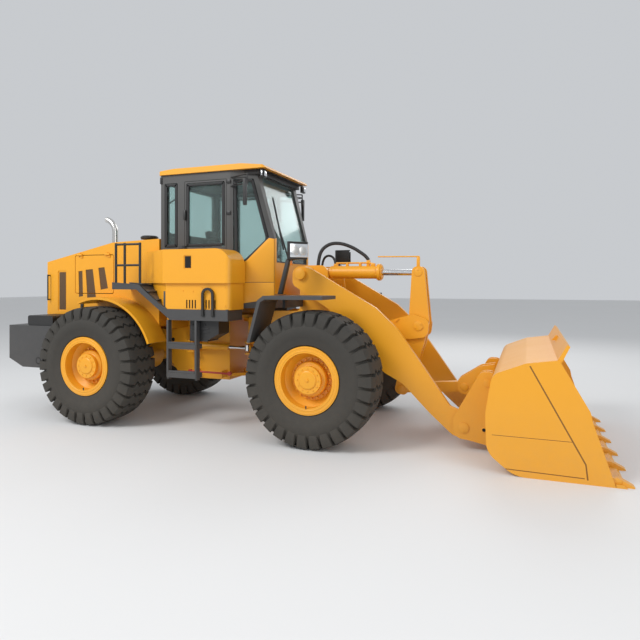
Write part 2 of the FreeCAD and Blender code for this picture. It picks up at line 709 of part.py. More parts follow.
# Hood: a hollow shell, open below and at the rear, with a doorway in each side.
body = new_body("hood")
top = ((S.hood_rear, 2090), (-1550, 2340), (S.hood_front, 2370))
slab(
    body, "XZ", "0", "2 * hood_half",
    outline((S.hood_rear, HOOD_BOTTOM), *top, (S.hood_front, HOOD_BOTTOM)),
)
cut(
    body, "XZ", "0", "2 * hood_half - 2 * hood_wall",
    outline(
        (S.hood_rear - 10, HOOD_BOTTOM - 10), (S.hood_rear - 10, 2046), (-1555, 2298),
        (S.hood_front - S.hood_wall, 2328), (S.hood_front - S.hood_wall, HOOD_BOTTOM - 10),
    ),
)
doorway = (-2200, -1530, 1645, 2180)
x0, x1, z0, z1 = doorway
cut(body, "XZ", "0", "2 * hood_half + 10", box(x0, x1, z0, z1, 30))
for x, r in ((S.exhaust_x, S.exhaust_r), (S.cleaner_x, S.cleaner_stem_r)):
    cut(body, "XY", "2300", "300", ring(x, 0, r + S.seat_gap))
tall_window = box(-2507, -2350, 1400, 1965, 20)
for _, side in SIDES:
    cut(body, "XZ", f"{side} * hood_half", "2 * recess", tall_window)
hood = body
leaning_windows = (
    outline((-2130, 1600), (-2060, 1610), (-2070, 1962), (-2141, 1955)),
    outline((-1985, 1590), (-1835, 1600), (-1890, 1985), (-2015, 1975)),
    outline((-1755, 1700), (-1630, 1720), (-1690, 2008), (-1795, 2000)),
)
g = S.door_gap
for side_name, side in SIDES:
    door = new_body(f"hood_door_{side_name}")
    slab(
        door, "XZ", f"{side} * (hood_half - hood_wall / 2)", "hood_wall",
        box(x0 + g, x1 - g, z0 + g, z1 - g, 25),
    )
    for window in leaning_windows:
        cut(door, "XZ", f"{side} * hood_half", "2 * recess", window)
    face = S.hood_half * side
    hinge_pair(
        hood, door, "YZ", ((S.hood_half + S.hinge_off) * side, z1), (x0 + 100, x1 - 100),
        box(face - 2 * side, face + 10 * side, z1 + 6, z1 + 28),
        box(face - 2 * side, face + 10 * side, z1 - 40, z1 - g),
    )

# Radiator grille: a louvred door across the rear of the hood.
grille_x = S.hood_rear - S.grille_thick / 2 - S.seat_gap
grille = new_body("radiator_grille")
slab(grille, "YZ", str(grille_x), "grille_thick", box(-600, 600, 1236, 2060, 40))
for i in range(12):
    slot = 1300 + 60 * i
    cut(grille, "YZ", str(grille_x), "grille_thick + 10", box(-520, 520, slot, slot + 30))
hinge_pair(
    hood, grille, "XY", (grille_x, -600 - S.hinge_off), (1400, 1900),
    box(S.hood_rear - 20, S.hood_rear + 2, -665, -610),
    box(grille_x - 8, grille_x + 8, -605, -598),
)

# Exhaust: an upright pipe with a turned-back end.
body = new_body("exhaust_pipe", ("exhaust_x - exhaust_bend", "0", "2560"))
slab(body, "XY", "-200", "400", ring(S.exhaust_bend, 0, S.exhaust_r))
bend = turned(body, "XY", ring(S.exhaust_bend, 0, S.exhaust_r), "V", 80)
bend.Reversed = True
body = new_body("air_precleaner", ("cleaner_x", "0", "2352"))
turned(
    body, "XZ",
    outline(
        (0, -50), (S.cleaner_stem_r, -50), (S.cleaner_stem_r, 70), (118, 76), (125, 88),
        (125, 112), (102, 128), (0, 135),
    ),
    "V",
)

# Cab shell: floor, walls with their windows, open front for the windscreen.
plan = ((S.cab_rear, S.cab_half), (S.corner_x, S.cab_half), (S.cab_front, S.nose_half))
inset = S.cab_wall


def front_x(z, depth=0):
    """Station of the cab's front face at a height, or of a face that deep behind it."""
    lean = max(z - S.lean_z, 0) / (S.cab_top - S.lean_z)
    return S.cab_front - (S.cab_front - S.cab_brow) * lean - depth


def flank_y(x, depth):
    """Half width of the cab where its sides draw in, at that depth behind the face."""
    share = (x - S.corner_x) / (S.cab_front - S.corner_x)
    return S.cab_half - (S.cab_half - S.nose_half) * share - depth


def cab_plan(gap):
    rear, corner, front = plan
    return outline(
        (rear[0] + gap, -rear[1] + gap), (corner[0], -corner[1] + gap),
        (front[0] - gap, -front[1] + gap), (front[0] - gap, front[1] - gap),
        (corner[0], corner[1] - gap), (rear[0] + gap, rear[1] - gap),
    )


body = new_body("cab_shell")
cab_shell = body
slab(body, "XY", "(cab_floor + cab_top) / 2", "cab_top - cab_floor", cab_plan(0))
cut(
    body, "XY", "(cab_floor + cab_wall + cab_top + 20) / 2", "cab_top + 20 - cab_floor - cab_wall",
    cab_plan(inset),
)
cut(
    body, "XZ", "0", "2 * cab_half + 20",
    outline(
        (S.cab_front + 10, S.lean_z), (S.cab_front, S.lean_z),
        (front_x(S.cab_top + 10), S.cab_top + 10), (S.cab_front + 10, S.cab_top + 10),
    ),
)
WINDOWS = {
    "rear_quarter": outline((-715, 2250, 20), (-515, 2250, 20), (-515, 3080, 20), (-715, 3080, 20)),
    "front_quarter": outline(
        (290, 3080, 20), (545, 3080, 20), (735, 2350, 20), (690, 2340, 30), (545, 1958, 120),
        (290, 1958, 40),
    ),
}
for shape in WINDOWS.values():
    cut(body, "XZ", "0", "2 * cab_half + 20", shape)
door_open = (-440, 230, 1560, 3120)
dx0, dx1, dz0, dz1 = door_open
cut(body, "XZ", "cab_half", "2 * cab_wall + 20", box(dx0, dx1, dz0, dz1, 30))
cut(body, "XZ", "-cab_half", "2 * cab_wall + 20", box(-385, 175, 2250, 3065, 20))
cut(body, "YZ", "cab_rear", "2 * cab_wall + 20", box(-560, 560, 2450, 3080, 30))
# The leaning front wall, trimmed to the cab's plan, and the windscreen's opening in it.
slab(
    body, "XZ", "0", "2 * cab_half",
    outline(
        (S.cab_front, S.lean_z), (S.cab_brow, S.cab_top),
        (S.cab_brow - S.cab_wall, S.cab_top), (S.cab_front - S.cab_wall, S.lean_z),
    ),
)
around = box(S.cab_rear - 100, S.cab_front + 100, -S.cab_half - 100, S.cab_half + 100)
cut(body, "XY", "(lean_z + cab_top) / 2", "cab_top - lean_z + 100", around, cab_plan(0))
cut(
    body, "YZ", "(cab_front + cab_brow) / 2", "cab_front - cab_brow + 4 * cab_wall",
    box(-S.screen_half, S.screen_half, S.screen_low, S.screen_high),
)

body = new_body("cab_door")
g = S.door_gap
slab(
    body, "XZ", "cab_half - cab_wall / 2", "cab_wall",
    box(dx0 + g, dx1 - g, dz0 + g, dz1 - g, 25), box(-385, 175, 2050, 3065, 20),
)
hinge_pair(
    cab_shell, body, "XY", (dx0, S.cab_half + S.hinge_off), (1700, 2350, 2990),
    box(dx0 - 45, dx0 + 4, S.cab_half - 2, S.cab_half + 10),
    box(dx0 + g, dx0 + 45, S.cab_half - 2, S.cab_half + 10),
)
body = new_body("cab_door_glass")
slab(body, "XZ", "cab_half - cab_wall / 2", "glass", box(-385, 175, 2050, 3065, 20))

body = new_body("cab_glass")
for _, side in SIDES:
    slab(body, "XZ", f"{side} * (cab_half - cab_wall / 2)", "glass", WINDOWS["rear_quarter"])
slab(body, "XZ", "-(cab_half - cab_wall / 2)", "glass", box(-385, 175, 2250, 3065, 20))
slab(body, "YZ", "cab_rear + cab_wall / 2", "glass", box(-560, 560, 2450, 3080, 30))
outer, inner = (S.cab_wall - S.glass) / 2, (S.cab_wall + S.glass) / 2
low, high = S.screen_low + S.seat_gap, S.screen_high - S.seat_gap
slab(
    body, "XZ", "0", "2 * (screen_half - seat_gap)",
    outline(
        (front_x(low, inner), low), (front_x(low, outer), low),
        (front_x(S.lean_z, outer), S.lean_z), (front_x(high, outer), high),
        (front_x(high, inner), high), (front_x(S.lean_z, inner), S.lean_z),
    ),
)
# The front quarter panes stand where the sides draw in, so each is cut to a slanting sheet.
for _, side in SIDES:
    middle = f"{side} * (cab_half + screen_half) / 2"
    slab(body, "XZ", middle, "cab_half - screen_half", WINDOWS["front_quarter"])
for _, side in SIDES:
    for depth, edge in ((outer, S.cab_half + 10), (inner, S.screen_half - S.seat_gap / 2)):
        ends = (S.corner_x - 6, S.cab_front - 4)
        face = [(x, side * flank_y(x, depth)) for x in ends]
        back = [(x, side * edge) for x in reversed(ends)]
        cut(body, "XY", "(cab_floor + cab_top) / 2", "cab_top - cab_floor", outline(*face, *back))

# Roof.
body = new_body("cab_roof")
high = S.cab_top + S.roof_thick
slab(
    body, "XZ", "0", "1420",
    outline(
        (-800, S.cab_top), (-800, high - 22, 20), (-560, high, 300), (420, high, 300),
        (715, high - 34, 30), (745, S.cab_top),
    ),
)
cut(
    body, "XY", "cab_top + roof_thick / 2", "2 * roof_thick",
    box(-900, 900, -800, 800), box(-800, 745, -710, 710, 60),
)

# Seat and steering column.
body = new_body("operator_seat")
slab(body, "XZ", "0", "300", outline((-330, 1530), (-330, 1800), (50, 1800), (50, 1530)))
slab(
    body, "XZ", "0", "500",
    outline((-360, 1800), (-480, 2500, 50), (-360, 2520, 50), (-240, 1940, 30), (90, 1960, 50), (90, 1800)),
)
body = new_body("steering_column")
slab(body, "XZ", "0", "120", outline((480, 1530), (380, 2130), (440, 2130), (600, 1530)))
slab(body, "XY", "2150", "40", ring(410, 0, 200), ring(410, 0, 165))
slab(body, "XY", "2150", "30", box(395, 425, -170, 170))
slab(body, "XY", "2130", "80", ring(410, 0, 28))

# Side tanks, the panels under them and the step decks.
def side_plan(side, out, gap=0):
    near = S.cab_half + S.seat_gap
    return outline(
        (-1000 + gap, side * near), (-470 + gap, side * out),
        (S.tank_nose - gap, side * out, 60), (S.tank_nose - gap, side * near),
    )


body = new_body("hydraulic_tank")
slab(
    body, "XZ", "-(cab_half + tank_out) / 2", "tank_out - cab_half + 20",
    outline(
        (-1000, S.tank_bottom), (S.tank_nose, S.tank_bottom),
        (S.tank_nose, S.tank_top, S.tank_turn), (-1000, S.tank_top),
    ),
)
beyond = box(-1100, S.tank_nose + 100, -S.tank_out - 100, -S.cab_half + 100)
plan_cut = "tank_top - tank_bottom + 20"
cut(body, "XY", "(tank_bottom + tank_top) / 2", plan_cut, beyond, side_plan(-1, S.tank_out))
level_gauge = box(-165, -57, 1960, 2126, 12)
cut(body, "XZ", "-tank_out", "2 * recess", level_gauge)
body = new_body("fuel_tank")
slab(
    body, "XY", "(tank_bottom + tank_top) / 2", "tank_top - tank_bottom",
    outline(
        (-1000, S.cab_half + S.seat_gap), (-1000, 700), (-700, S.tank_out, 60),
        (S.fuel_nose, S.tank_out, 60), (S.fuel_nose, S.cab_half + S.seat_gap),
    ),
)
body = new_body("side_panels")
for _, side in SIDES:
    high = S.tank_bottom - 0.3 if side < 0 else 1555
    slab(
        body, "XY", f"({high} + deck_top) / 2", f"{high} - deck_top",
        side_plan(side, S.tank_out - 40, 20),
    )
slab(
    body, "XY", "(tank_bottom - seat_gap + deck_top) / 2", "tank_bottom - seat_gap - deck_top",
    outline(
        (-980, S.cab_half + S.seat_gap), (-980, 697), (-700, S.tank_out - 40, 60),
        (S.fuel_nose - 10, S.tank_out - 40, 60), (S.fuel_nose - 10, S.cab_half + S.seat_gap),
    ),
)
cut(
    body, "XZ", "0", "2 * tank_out",
    outline((-1100, 1400), (-470, 1400), (-478, 1471), (-840, 1772), (-1100, 1772)),
)
# Two groups of four vent slots under the right-hand tank.
for first in (-160, 110):
    for i in range(4):
        slot = first + 40 * i
        opening = outline((slot, 1485), (slot + 20, 1485), (slot + 20, 1588), (slot, 1588))
        cut(body, "XZ", "-(tank_out - 40)", "2 * recess", opening)

body = new_body("step_decks")
for _, side in SIDES:
    slab(
        body, "XZ", f"{side} * (cab_half + deck_out) / 2", "deck_out - cab_half - 2 * seat_gap",
        outline(
            (420, S.deck_top), (420, S.deck_top - S.deck_thick), (-380, S.deck_top - S.deck_thick),
            (-880, 1710), (-1256, 1710), (-1256, 1770), (-840, 1770), (-480, S.deck_top),
        ),
    )

# Yellow arches over the rear tyres.
body = new_body("rear_fenders")
inner_r, outer_r = 830, 860


def on_arch(radius, degrees):
    turn = math.radians(degrees)
    return Vector(S.rear_axle_x + radius * math.cos(turn), S.tyre_r + radius * math.sin(turn), 0)


arch_loop = [
    Part.Arc(on_arch(outer_r, 20), on_arch(outer_r, 60), on_arch(outer_r, 112)),
    Part.LineSegment(on_arch(outer_r, 112), on_arch(inner_r, 112)),
    Part.Arc(on_arch(inner_r, 112), on_arch(inner_r, 60), on_arch(inner_r, 20)),
    Part.LineSegment(on_arch(inner_r, 20), on_arch(outer_r, 20)),
]
for _, side in SIDES:
    slab(
        body, "XZ", f"{side} * (hood_half + deck_out) / 2", "deck_out - hood_half - 2 * seat_gap",
        arch_loop,
    )

# Ladders, hand rails, battery boxes.
body = new_body("ladders")
for _, side in SIDES:
    for x in (-420, -20):
        slab(body, "YZ", str(x), "30", box(side * 960, side * 1020, 620, S.deck_top - S.deck_thick))
    for z in (640, 990):
        slab(body, "XZ", f"{side} * 960", "150", box(-420, -20, z, z + 60))
body = new_body("hand_rails")
for _, side in SIDES:
    for x in (-1223, -1085, -851):
        slab(body, "XY", "2035", "530", ring(x, side * 1000, 16))
    for z in (2017, 2282):
        slab(body, "YZ", "-1037", "376", ring(side * 1000, z, 14))
# The grab handle stands on the right only, because the door swings over the left deck.
slab(
    body, "XZ", "-(deck_out + 12)", "24",
    outline(
        (75, 1400), (75, 1735, 80), (239, 1735, 80), (239, 1400), (211, 1400),
        (211, 1707, 52), (103, 1707, 52), (103, 1400),
    ),
)
body = new_body("battery_boxes")
for _, side in SIDES:
    slab(
        body, "XZ", f"{side} * 825", "250",
        outline(
            (-150, S.deck_top - S.deck_thick), (250, S.deck_top - S.deck_thick), (250, 1180),
            (100, 1100), (-150, 1100),
        ),
    )
    slab(body, "XZ", f"{side} * 925", "410", box(-2570, -2140, S.weight_top, S.weight_top + 135, 30))

# Front fenders over the front tyres, carried by brackets on the front frame.
body = new_body("front_fenders")
for _, side in SIDES:
    slab(
        body, "XZ", f"{side} * (fender_in + fender_out) / 2", "fender_out - fender_in",
        outline(
            (1690, 1610), (1690, 1650), (1000, 1650), (930, 1600), (800, 1130), (835, 1130),
            (965, 1580), (1020, 1610),
        ),
    )
    slab(
        body, "XZ", f"{side} * ((fender_in + front_rail_y + front_rail / 2) / 2 + 20)",
        "fender_in - front_rail_y - front_rail / 2 + 40",
        box(1055, 1090, 1500, 1610),
    )

# Head lamps on posts at the front fenders.
body = new_body("head_lamps")
for _, side in SIDES:
    slab(body, "XZ", f"{side} * 900", "240", box(1090, 1350, 2030, 2290, 40))
    post = outline((1000, 1650), (1100, 2040), (1160, 2040), (1060, 1650))
    slab(body, "XZ", f"{side} * 900", "60", post)

# Mirrors on brackets at the cab's front corners.
body = new_body("mirrors")
for _, side in SIDES:
    for z in (2960, 3060):
        slab(body, "XZ", f"{side} * 756", "300", box(590, 614, z, z + 24))
    slab(body, "XZ", f"{side} * 905", "180", box(560, 600, 2640, 3090, 20))

doc.recompute()
for body in BODIES:
    for item in [body] + list(body.Group):
        if "Invalid" in item.State or "Error" in item.State:
            raise RuntimeError(f"{item.Label} did not build: {item.State}")
    if body.Shape.isNull() or not body.Shape.isValid():
        raise RuntimeError(f"{body.Label} has no valid shape")

os.makedirs("parts", exist_ok=True)
for body in BODIES:
    body.Shape.exportStep(f"parts/{body.Label}.step")
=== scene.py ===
import bpy
import bmesh
import json
import math
from mathutils import Matrix, Vector

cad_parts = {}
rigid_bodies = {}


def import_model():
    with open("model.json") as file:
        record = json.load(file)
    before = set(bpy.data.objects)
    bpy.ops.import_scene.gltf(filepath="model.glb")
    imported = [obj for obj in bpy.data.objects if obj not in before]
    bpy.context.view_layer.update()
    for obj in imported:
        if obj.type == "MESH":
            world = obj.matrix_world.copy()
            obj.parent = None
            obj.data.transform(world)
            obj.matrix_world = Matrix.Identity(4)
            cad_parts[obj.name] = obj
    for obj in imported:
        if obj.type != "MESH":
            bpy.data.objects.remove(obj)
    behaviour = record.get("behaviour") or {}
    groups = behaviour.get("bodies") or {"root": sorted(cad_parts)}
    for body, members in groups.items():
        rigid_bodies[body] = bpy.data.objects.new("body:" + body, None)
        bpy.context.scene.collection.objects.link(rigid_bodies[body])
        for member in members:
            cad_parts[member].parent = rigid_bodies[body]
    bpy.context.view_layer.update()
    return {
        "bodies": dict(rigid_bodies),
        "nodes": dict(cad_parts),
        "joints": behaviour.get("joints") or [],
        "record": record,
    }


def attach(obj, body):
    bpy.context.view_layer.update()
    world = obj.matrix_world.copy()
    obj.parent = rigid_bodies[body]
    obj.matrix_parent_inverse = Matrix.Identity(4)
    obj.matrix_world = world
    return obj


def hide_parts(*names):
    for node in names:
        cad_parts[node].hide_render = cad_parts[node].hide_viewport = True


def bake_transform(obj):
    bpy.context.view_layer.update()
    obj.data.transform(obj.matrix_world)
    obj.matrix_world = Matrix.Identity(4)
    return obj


bl_info = {
    "name": "Wheel loader looks",
    "version": (1, 0, 0),
    "blender": (4, 2, 0),
    "location": "View3D > Sidebar > Loader",
    "description": "Materials, tyres and fittings for an articulated wheel loader",
    "category": "Object",
}

# Lengths are metres in the row frame: +X forward, +Y left, +Z up, floor at 0.
RIGHT, LEFT = -1, 1
WHEELS = {
    "front_left": (0.645, 1.03), "front_right": (0.645, -1.03),
    "rear_left": (-2.355, 1.03), "rear_right": (-2.355, -1.03),
}
TYRE_R = 0.7465
TREAD_HALF = 0.22
TYRE_HALF = 0.2605
SIDES = (("left", LEFT), ("right", RIGHT))
# The part source counts stations from mid-wheelbase, in millimetres; this is where they start.
STATION_ZERO = -0.855

FRAME = {}
MATERIALS = {}


# Materials.

def node(tree, kind, **values):
    """A shader node whose inputs or settings take the given values."""
    made = tree.nodes.new(kind)
    for name, value in values.items():
        if name in made.inputs:
            made.inputs[name].default_value = value
        else:
            setattr(made, name, value)
    return made


def finish(name, colour, shade, rough, metallic=0.0, grain=6.0, bump=0.05, fine=220.0,
           dust=None, dust_top=0.9, dust_share=0.5, **fixed):
    """One painted, cast or moulded surface: patchy colour, uneven gloss, fine bump and floor dust."""
    if name in MATERIALS:
        return MATERIALS[name]
    made = bpy.data.materials.new(name)
    made.use_nodes = True
    tree = made.node_tree
    shader = tree.nodes["Principled BSDF"]
    shader.inputs["Metallic"].default_value = metallic
    for socket, value in fixed.items():
        shader.inputs[socket.replace("_", " ")].default_value = value
    link = tree.links.new
    where = node(tree, "ShaderNodeTexCoord")
    broad = node(tree, "ShaderNodeTexNoise", Scale=grain, Detail=6.0, Roughness=0.6)
    link(where.outputs["Object"], broad.inputs["Vector"])
    mix = node(tree, "ShaderNodeMixRGB")
    mix.inputs["Color1"].default_value = (*colour, 1)
    mix.inputs["Color2"].default_value = (*shade, 1)
    link(broad.outputs["Fac"], mix.inputs["Fac"])
    colour_out = mix.outputs["Color"]
    if dust:
        axes = node(tree, "ShaderNodeSeparateXYZ")
        link(where.outputs["Object"], axes.inputs["Vector"])
        height = node(tree, "ShaderNodeMapRange")
        height.inputs["From Min"].default_value = dust_top
        height.inputs["From Max"].default_value = 0.0
        link(axes.outputs["Z"], height.inputs["Value"])
        patch = node(tree, "ShaderNodeTexNoise", Scale=14.0, Detail=8.0, Roughness=0.7)
        link(where.outputs["Object"], patch.inputs["Vector"])
        amount = node(tree, "ShaderNodeMath", operation="MULTIPLY")
        link(height.outputs["Result"], amount.inputs[0])
        link(patch.outputs["Fac"], amount.inputs[1])
        share = node(tree, "ShaderNodeMath", operation="MULTIPLY")
        share.inputs[1].default_value = dust_share
        link(amount.outputs["Value"], share.inputs[0])
        dusty = node(tree, "ShaderNodeMixRGB")
        dusty.inputs["Color2"].default_value = (*dust, 1)
        link(share.outputs["Value"], dusty.inputs["Fac"])
        link(colour_out, dusty.inputs["Color1"])
        colour_out = dusty.outputs["Color"]
    link(colour_out, shader.inputs["Base Color"])
    gloss = node(tree, "ShaderNodeMapRange")
    gloss.inputs["To Min"].default_value = max(0.02, rough - 0.07)
    gloss.inputs["To Max"].default_value = min(1.0, rough + 0.10)
    link(broad.outputs["Fac"], gloss.inputs["Value"])
    link(gloss.outputs["Result"], shader.inputs["Roughness"])
    close = node(tree, "ShaderNodeTexNoise", Scale=fine, Detail=3.0)
    link(where.outputs["Object"], close.inputs["Vector"])
    relief = node(tree, "ShaderNodeBump", Strength=bump, Distance=0.002)
    link(close.outputs["Fac"], relief.inputs["Height"])
    link(relief.outputs["Normal"], shader.inputs["Normal"])
    MATERIALS[name] = made
    return made


EARTH = (0.30, 0.24, 0.17)


def paint(name):
    """The machine's yellow paint under a material name of its own."""
    return finish(name, (0.84, 0.375, 0.016), (0.77, 0.335, 0.013), 0.40,
                  grain=1.7, bump=0.03, dust=EARTH, dust_top=0.8, dust_share=0.22,
                  Coat_Weight=0.12, Coat_Roughness=0.2)


def yellow():
    return paint("yellow_paint")


def grey():
    return finish("grey_paint", (0.072, 0.071, 0.068), (0.056, 0.055, 0.053), 0.48,
                  grain=3.0, dust=EARTH, dust_top=1.4, dust_share=0.25)


def deck_grey():
    return finish("deck_grey", (0.056, 0.057, 0.060), (0.043, 0.044, 0.046), 0.50,
                  grain=4.0, dust=EARTH, dust_top=1.9, dust_share=0.2)


def black():
    return finish("black_paint", (0.016, 0.016, 0.017), (0.026, 0.025, 0.024), 0.42,
                  grain=5.0, dust=EARTH, dust_top=1.2, dust_share=0.2)


def gasket():
    return finish("gasket_rubber", (0.010, 0.010, 0.011), (0.018, 0.018, 0.018), 0.60,
                  grain=25.0, bump=0.1, fine=400.0)


def rubber():
    return finish("tyre_rubber", (0.026, 0.025, 0.022), (0.044, 0.040, 0.034), 0.80,
                  grain=9.0, bump=0.3, fine=90.0, dust=EARTH, dust_top=1.6, dust_share=0.14)


def chrome():
    return finish("chrome_rod", (0.78, 0.79, 0.80), (0.70, 0.71, 0.72), 0.14, metallic=1.0,
                  grain=12.0, bump=0.01)


def bright():
    return finish("bright_steel", (0.72, 0.71, 0.69), (0.60, 0.59, 0.56), 0.26, metallic=1.0,
                  grain=7.0, bump=0.02)


def lens_glass():
    return finish("lamp_lens", (0.80, 0.82, 0.84), (0.62, 0.65, 0.68), 0.08, metallic=0.75,
                  grain=34.0, bump=0.25, fine=60.0, Coat_Weight=0.8, Coat_Roughness=0.03)


def amber():
    return finish("amber_lens", (0.75, 0.22, 0.02), (0.62, 0.16, 0.015), 0.14, grain=30.0,
                  bump=0.2, fine=160.0, Coat_Weight=0.6, Coat_Roughness=0.05)


def red():
    return finish("red_paint", (0.52, 0.030, 0.018), (0.40, 0.024, 0.016), 0.40, grain=8.0,
                  dust=EARTH, dust_top=1.0, dust_share=0.4)


def tread_plate():
    """Step treads with dried earth on them."""
    return finish("tread_plate", (0.150, 0.108, 0.066), (0.078, 0.062, 0.045), 0.86, grain=18.0,
                  bump=0.7, fine=130.0, dust=EARTH, dust_top=2.2, dust_share=0.5)


def cloth():
    return finish("seat_cloth", (0.082, 0.084, 0.088), (0.058, 0.060, 0.064), 0.92,
                  grain=20.0, bump=0.5, fine=900.0, Sheen_Weight=0.35)


def hose():
    return finish("hose_rubber", (0.018, 0.018, 0.019), (0.030, 0.029, 0.028), 0.62,
                  grain=30.0, bump=0.15, fine=300.0)


# Lines of painted shade along the grooves and welds on the bucket's side plates: two ends in stations, and
# half the width in metres.
BUCKET_LINES = (
    ((3735, 1029), (4200, 175), 0.0065), ((4200, 175), (4215, 40), 0.0065),
    ((3400, 368), (4094, 366), 0.0028), ((3480, 64), (4190, 52), 0.0045),
)
GROOVE_SHADE_COLOUR = (0.22, 0.085, 0.008, 1)
# Only what lies further out than this, in metres, is a side plate's outer face.
SIDE_PLATE_FACE = 1.323


def bucket_paint():
    """The yellow paint with painted shade in dark lines along the side plates' grooves and seams."""
    made = paint("bucket_paint")
    tree = made.node_tree
    link = tree.links.new
    shader = tree.nodes["Principled BSDF"]
    where = node(tree, "ShaderNodeTexCoord").outputs["Object"]
    colour = shader.inputs["Base Color"].links[0].from_socket

    def along(direction, start, low, high):
        """One where the place along a direction lies between low and high of the start."""
        dot = node(tree, "ShaderNodeVectorMath", operation="DOT_PRODUCT")
        link(where, dot.inputs[0])
        dot.inputs[1].default_value = direction
        less = node(tree, "ShaderNodeMath", operation="COMPARE")
        link(dot.outputs["Value"], less.inputs[0])
        less.inputs[1].default_value = Vector(direction).dot(start) + (low + high) / 2
        less.inputs[2].default_value = (high - low) / 2
        return less.outputs["Value"]

    for a, b, half in BUCKET_LINES:
        start = Vector((a[0] / 1000 + STATION_ZERO, 0, a[1] / 1000))
        end = Vector((b[0] / 1000 + STATION_ZERO, 0, b[1] / 1000))
        course = (end - start).normalized()
        both = node(tree, "ShaderNodeMath", operation="MULTIPLY")
        link(along(course, start, 0.0, (end - start).length), both.inputs[0])
        link(along(Vector((-course.z, 0, course.x)), start, -half, half), both.inputs[1])
        outside = node(tree, "ShaderNodeMath", operation="SUBTRACT")
        link(both.outputs["Value"], outside.inputs[0])
        within = along(Vector((0, 1, 0)), Vector((0, 0, 0)), -SIDE_PLATE_FACE, SIDE_PLATE_FACE)
        link(within, outside.inputs[1])
        outside.use_clamp = True
        # Each groove gets a dark line of painted shade on the side plates' outer faces.
        groove_shade = node(tree, "ShaderNodeMixRGB")
        groove_shade.inputs["Color2"].default_value = GROOVE_SHADE_COLOUR
        link(outside.outputs["Value"], groove_shade.inputs["Fac"])
        link(colour, groove_shade.inputs["Color1"])
        colour = groove_shade.outputs["Color"]
    link(colour, shader.inputs["Base Color"])
    return made


def mesh_screen():
    """Brown woven screen behind the hood windows."""
    return finish("mesh_screen", (0.130, 0.068, 0.026), (0.080, 0.042, 0.016), 0.70,
                  grain=40.0, bump=0.6, fine=420.0)


# Painted shade: a near-black finish for holes, vent slots and gaps, which are drawn as thin dark sheets on a
# surface instead of being cut. The tank's level gauge, dark in itself, uses it too.
def black_and_hole_shade():
    return finish("black_and_hole_shade", (0.006, 0.006, 0.006), (0.011, 0.010, 0.009), 0.90, grain=20.0)


def glass():
    return finish("tinted_glass", (0.70, 0.86, 0.84), (0.66, 0.82, 0.80), 0.05, grain=2.0,
                  bump=0.004, fine=5.0, Transmission_Weight=0.95, IOR=1.30)


NODE_FINISH = {
    "yellow_paint": yellow, "rim_paint": yellow, "grey_paint": grey, "black_paint": black,
    "chrome_rod": chrome, "bright_steel": bright, "tinted_glass": glass,
    "tyre_rubber": rubber, "seat_cloth": cloth,
}


DARK_NODES = ("step_decks", "ladders", "front_fenders", "counterweight")


# Shapes.

# Faces that meet at more than this, in degrees, keep a sharp edge between them.
SPLIT_ANGLE = 32


def piece(name, made, material, body, bevel=0.0, segments=2):
    """Turns a finished bmesh into a piece, which rides on a body unless that is None."""
    data = bpy.data.meshes.new(name)
    made.normal_update()
    made.to_mesh(data)
    made.free()
    held = bpy.data.objects.new(name, data)
    bpy.context.scene.collection.objects.link(held)
    data.materials.append(material)
    if bevel:
        edge = held.modifiers.new("edges", "BEVEL")
        edge.width = bevel
        edge.segments = segments
        edge.limit_method = "ANGLE"
    for face in data.polygons:
        face.use_smooth = True
    split = held.modifiers.new("split", "EDGE_SPLIT")
    split.split_angle = math.radians(SPLIT_ANGLE)
    if body:
        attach(held, body)
    return held


def prism(made, outline, plane, low, high):
    """Adds a straight prism of the outline to a bmesh; plane says which two axes it is drawn on."""
    def point(a, b, c):
        return {"XZ": (a, c, b), "XY": (a, b, c), "YZ": (c, a, b)}[plane]
    near = [made.verts.new(point(a, b, low)) for a, b in outline]
    far = [made.verts.new(point(a, b, high)) for a, b in outline]
    made.faces.new(near)
    made.faces.new(list(reversed(far)))
    count = len(outline)
    for i in range(count):
        j = (i + 1) % count
        made.faces.new((near[i], far[i], far[j], near[j]))


def tidy(made):
    bmesh.ops.recalc_face_normals(made, faces=made.faces)
    return made


def slab_piece(name, outline, plane, low, high, material, body, bevel=0.004):
    made = bmesh.new()
    prism(made, outline, plane, low, high)
    return piece(name, tidy(made), material, body, bevel)


def soft(*corners, steps=5):
    """A closed outline in stations, turned to metres; a corner's third number is its radius."""
    spots = [Vector((c[0], c[1])) for c in corners]
    points = []
    for i, spot in enumerate(spots):
        radius = corners[i][2] if len(corners[i]) > 2 else 0
        if not radius:
            points.append(spot)
            continue
        before = (spots[i - 1] - spot).normalized()
        after = (spots[(i + 1) % len(spots)] - spot).normalized()
        half = before.angle(after) / 2
        middle = spot + (before + after).normalized() * (radius / math.sin(half))
        start = spot + before * (radius / math.tan(half)) - middle
        end = spot + after * (radius / math.tan(half)) - middle
        for k in range(steps + 1):
            points.append(middle + start.slerp(end, k / steps) if start.length else spot)
    return [(p.x / 1000 + STATION_ZERO, p.y / 1000) for p in points]


def pair(side, a, b):
    """Two distances from the middle on one side of the machine, the lower first."""
    return sorted((side * a, side * b))


def rect(x0, x1, z0, z1, radius=0):
    """The corners of a rectangle in stations, all with one radius."""
    return (x0, z0, radius), (x1, z0, radius), (x1, z1, radius), (x0, z1, radius)


def facing(*corners):
    """The closed outline of something that faces along X: its first numbers are distances across."""
    return [(a - STATION_ZERO, b) for a, b in soft(*corners)]


def at(*place):
    """A place in stations, turned to metres."""
    return (place[0] / 1000 + STATION_ZERO, place[1] / 1000, place[2] / 1000)


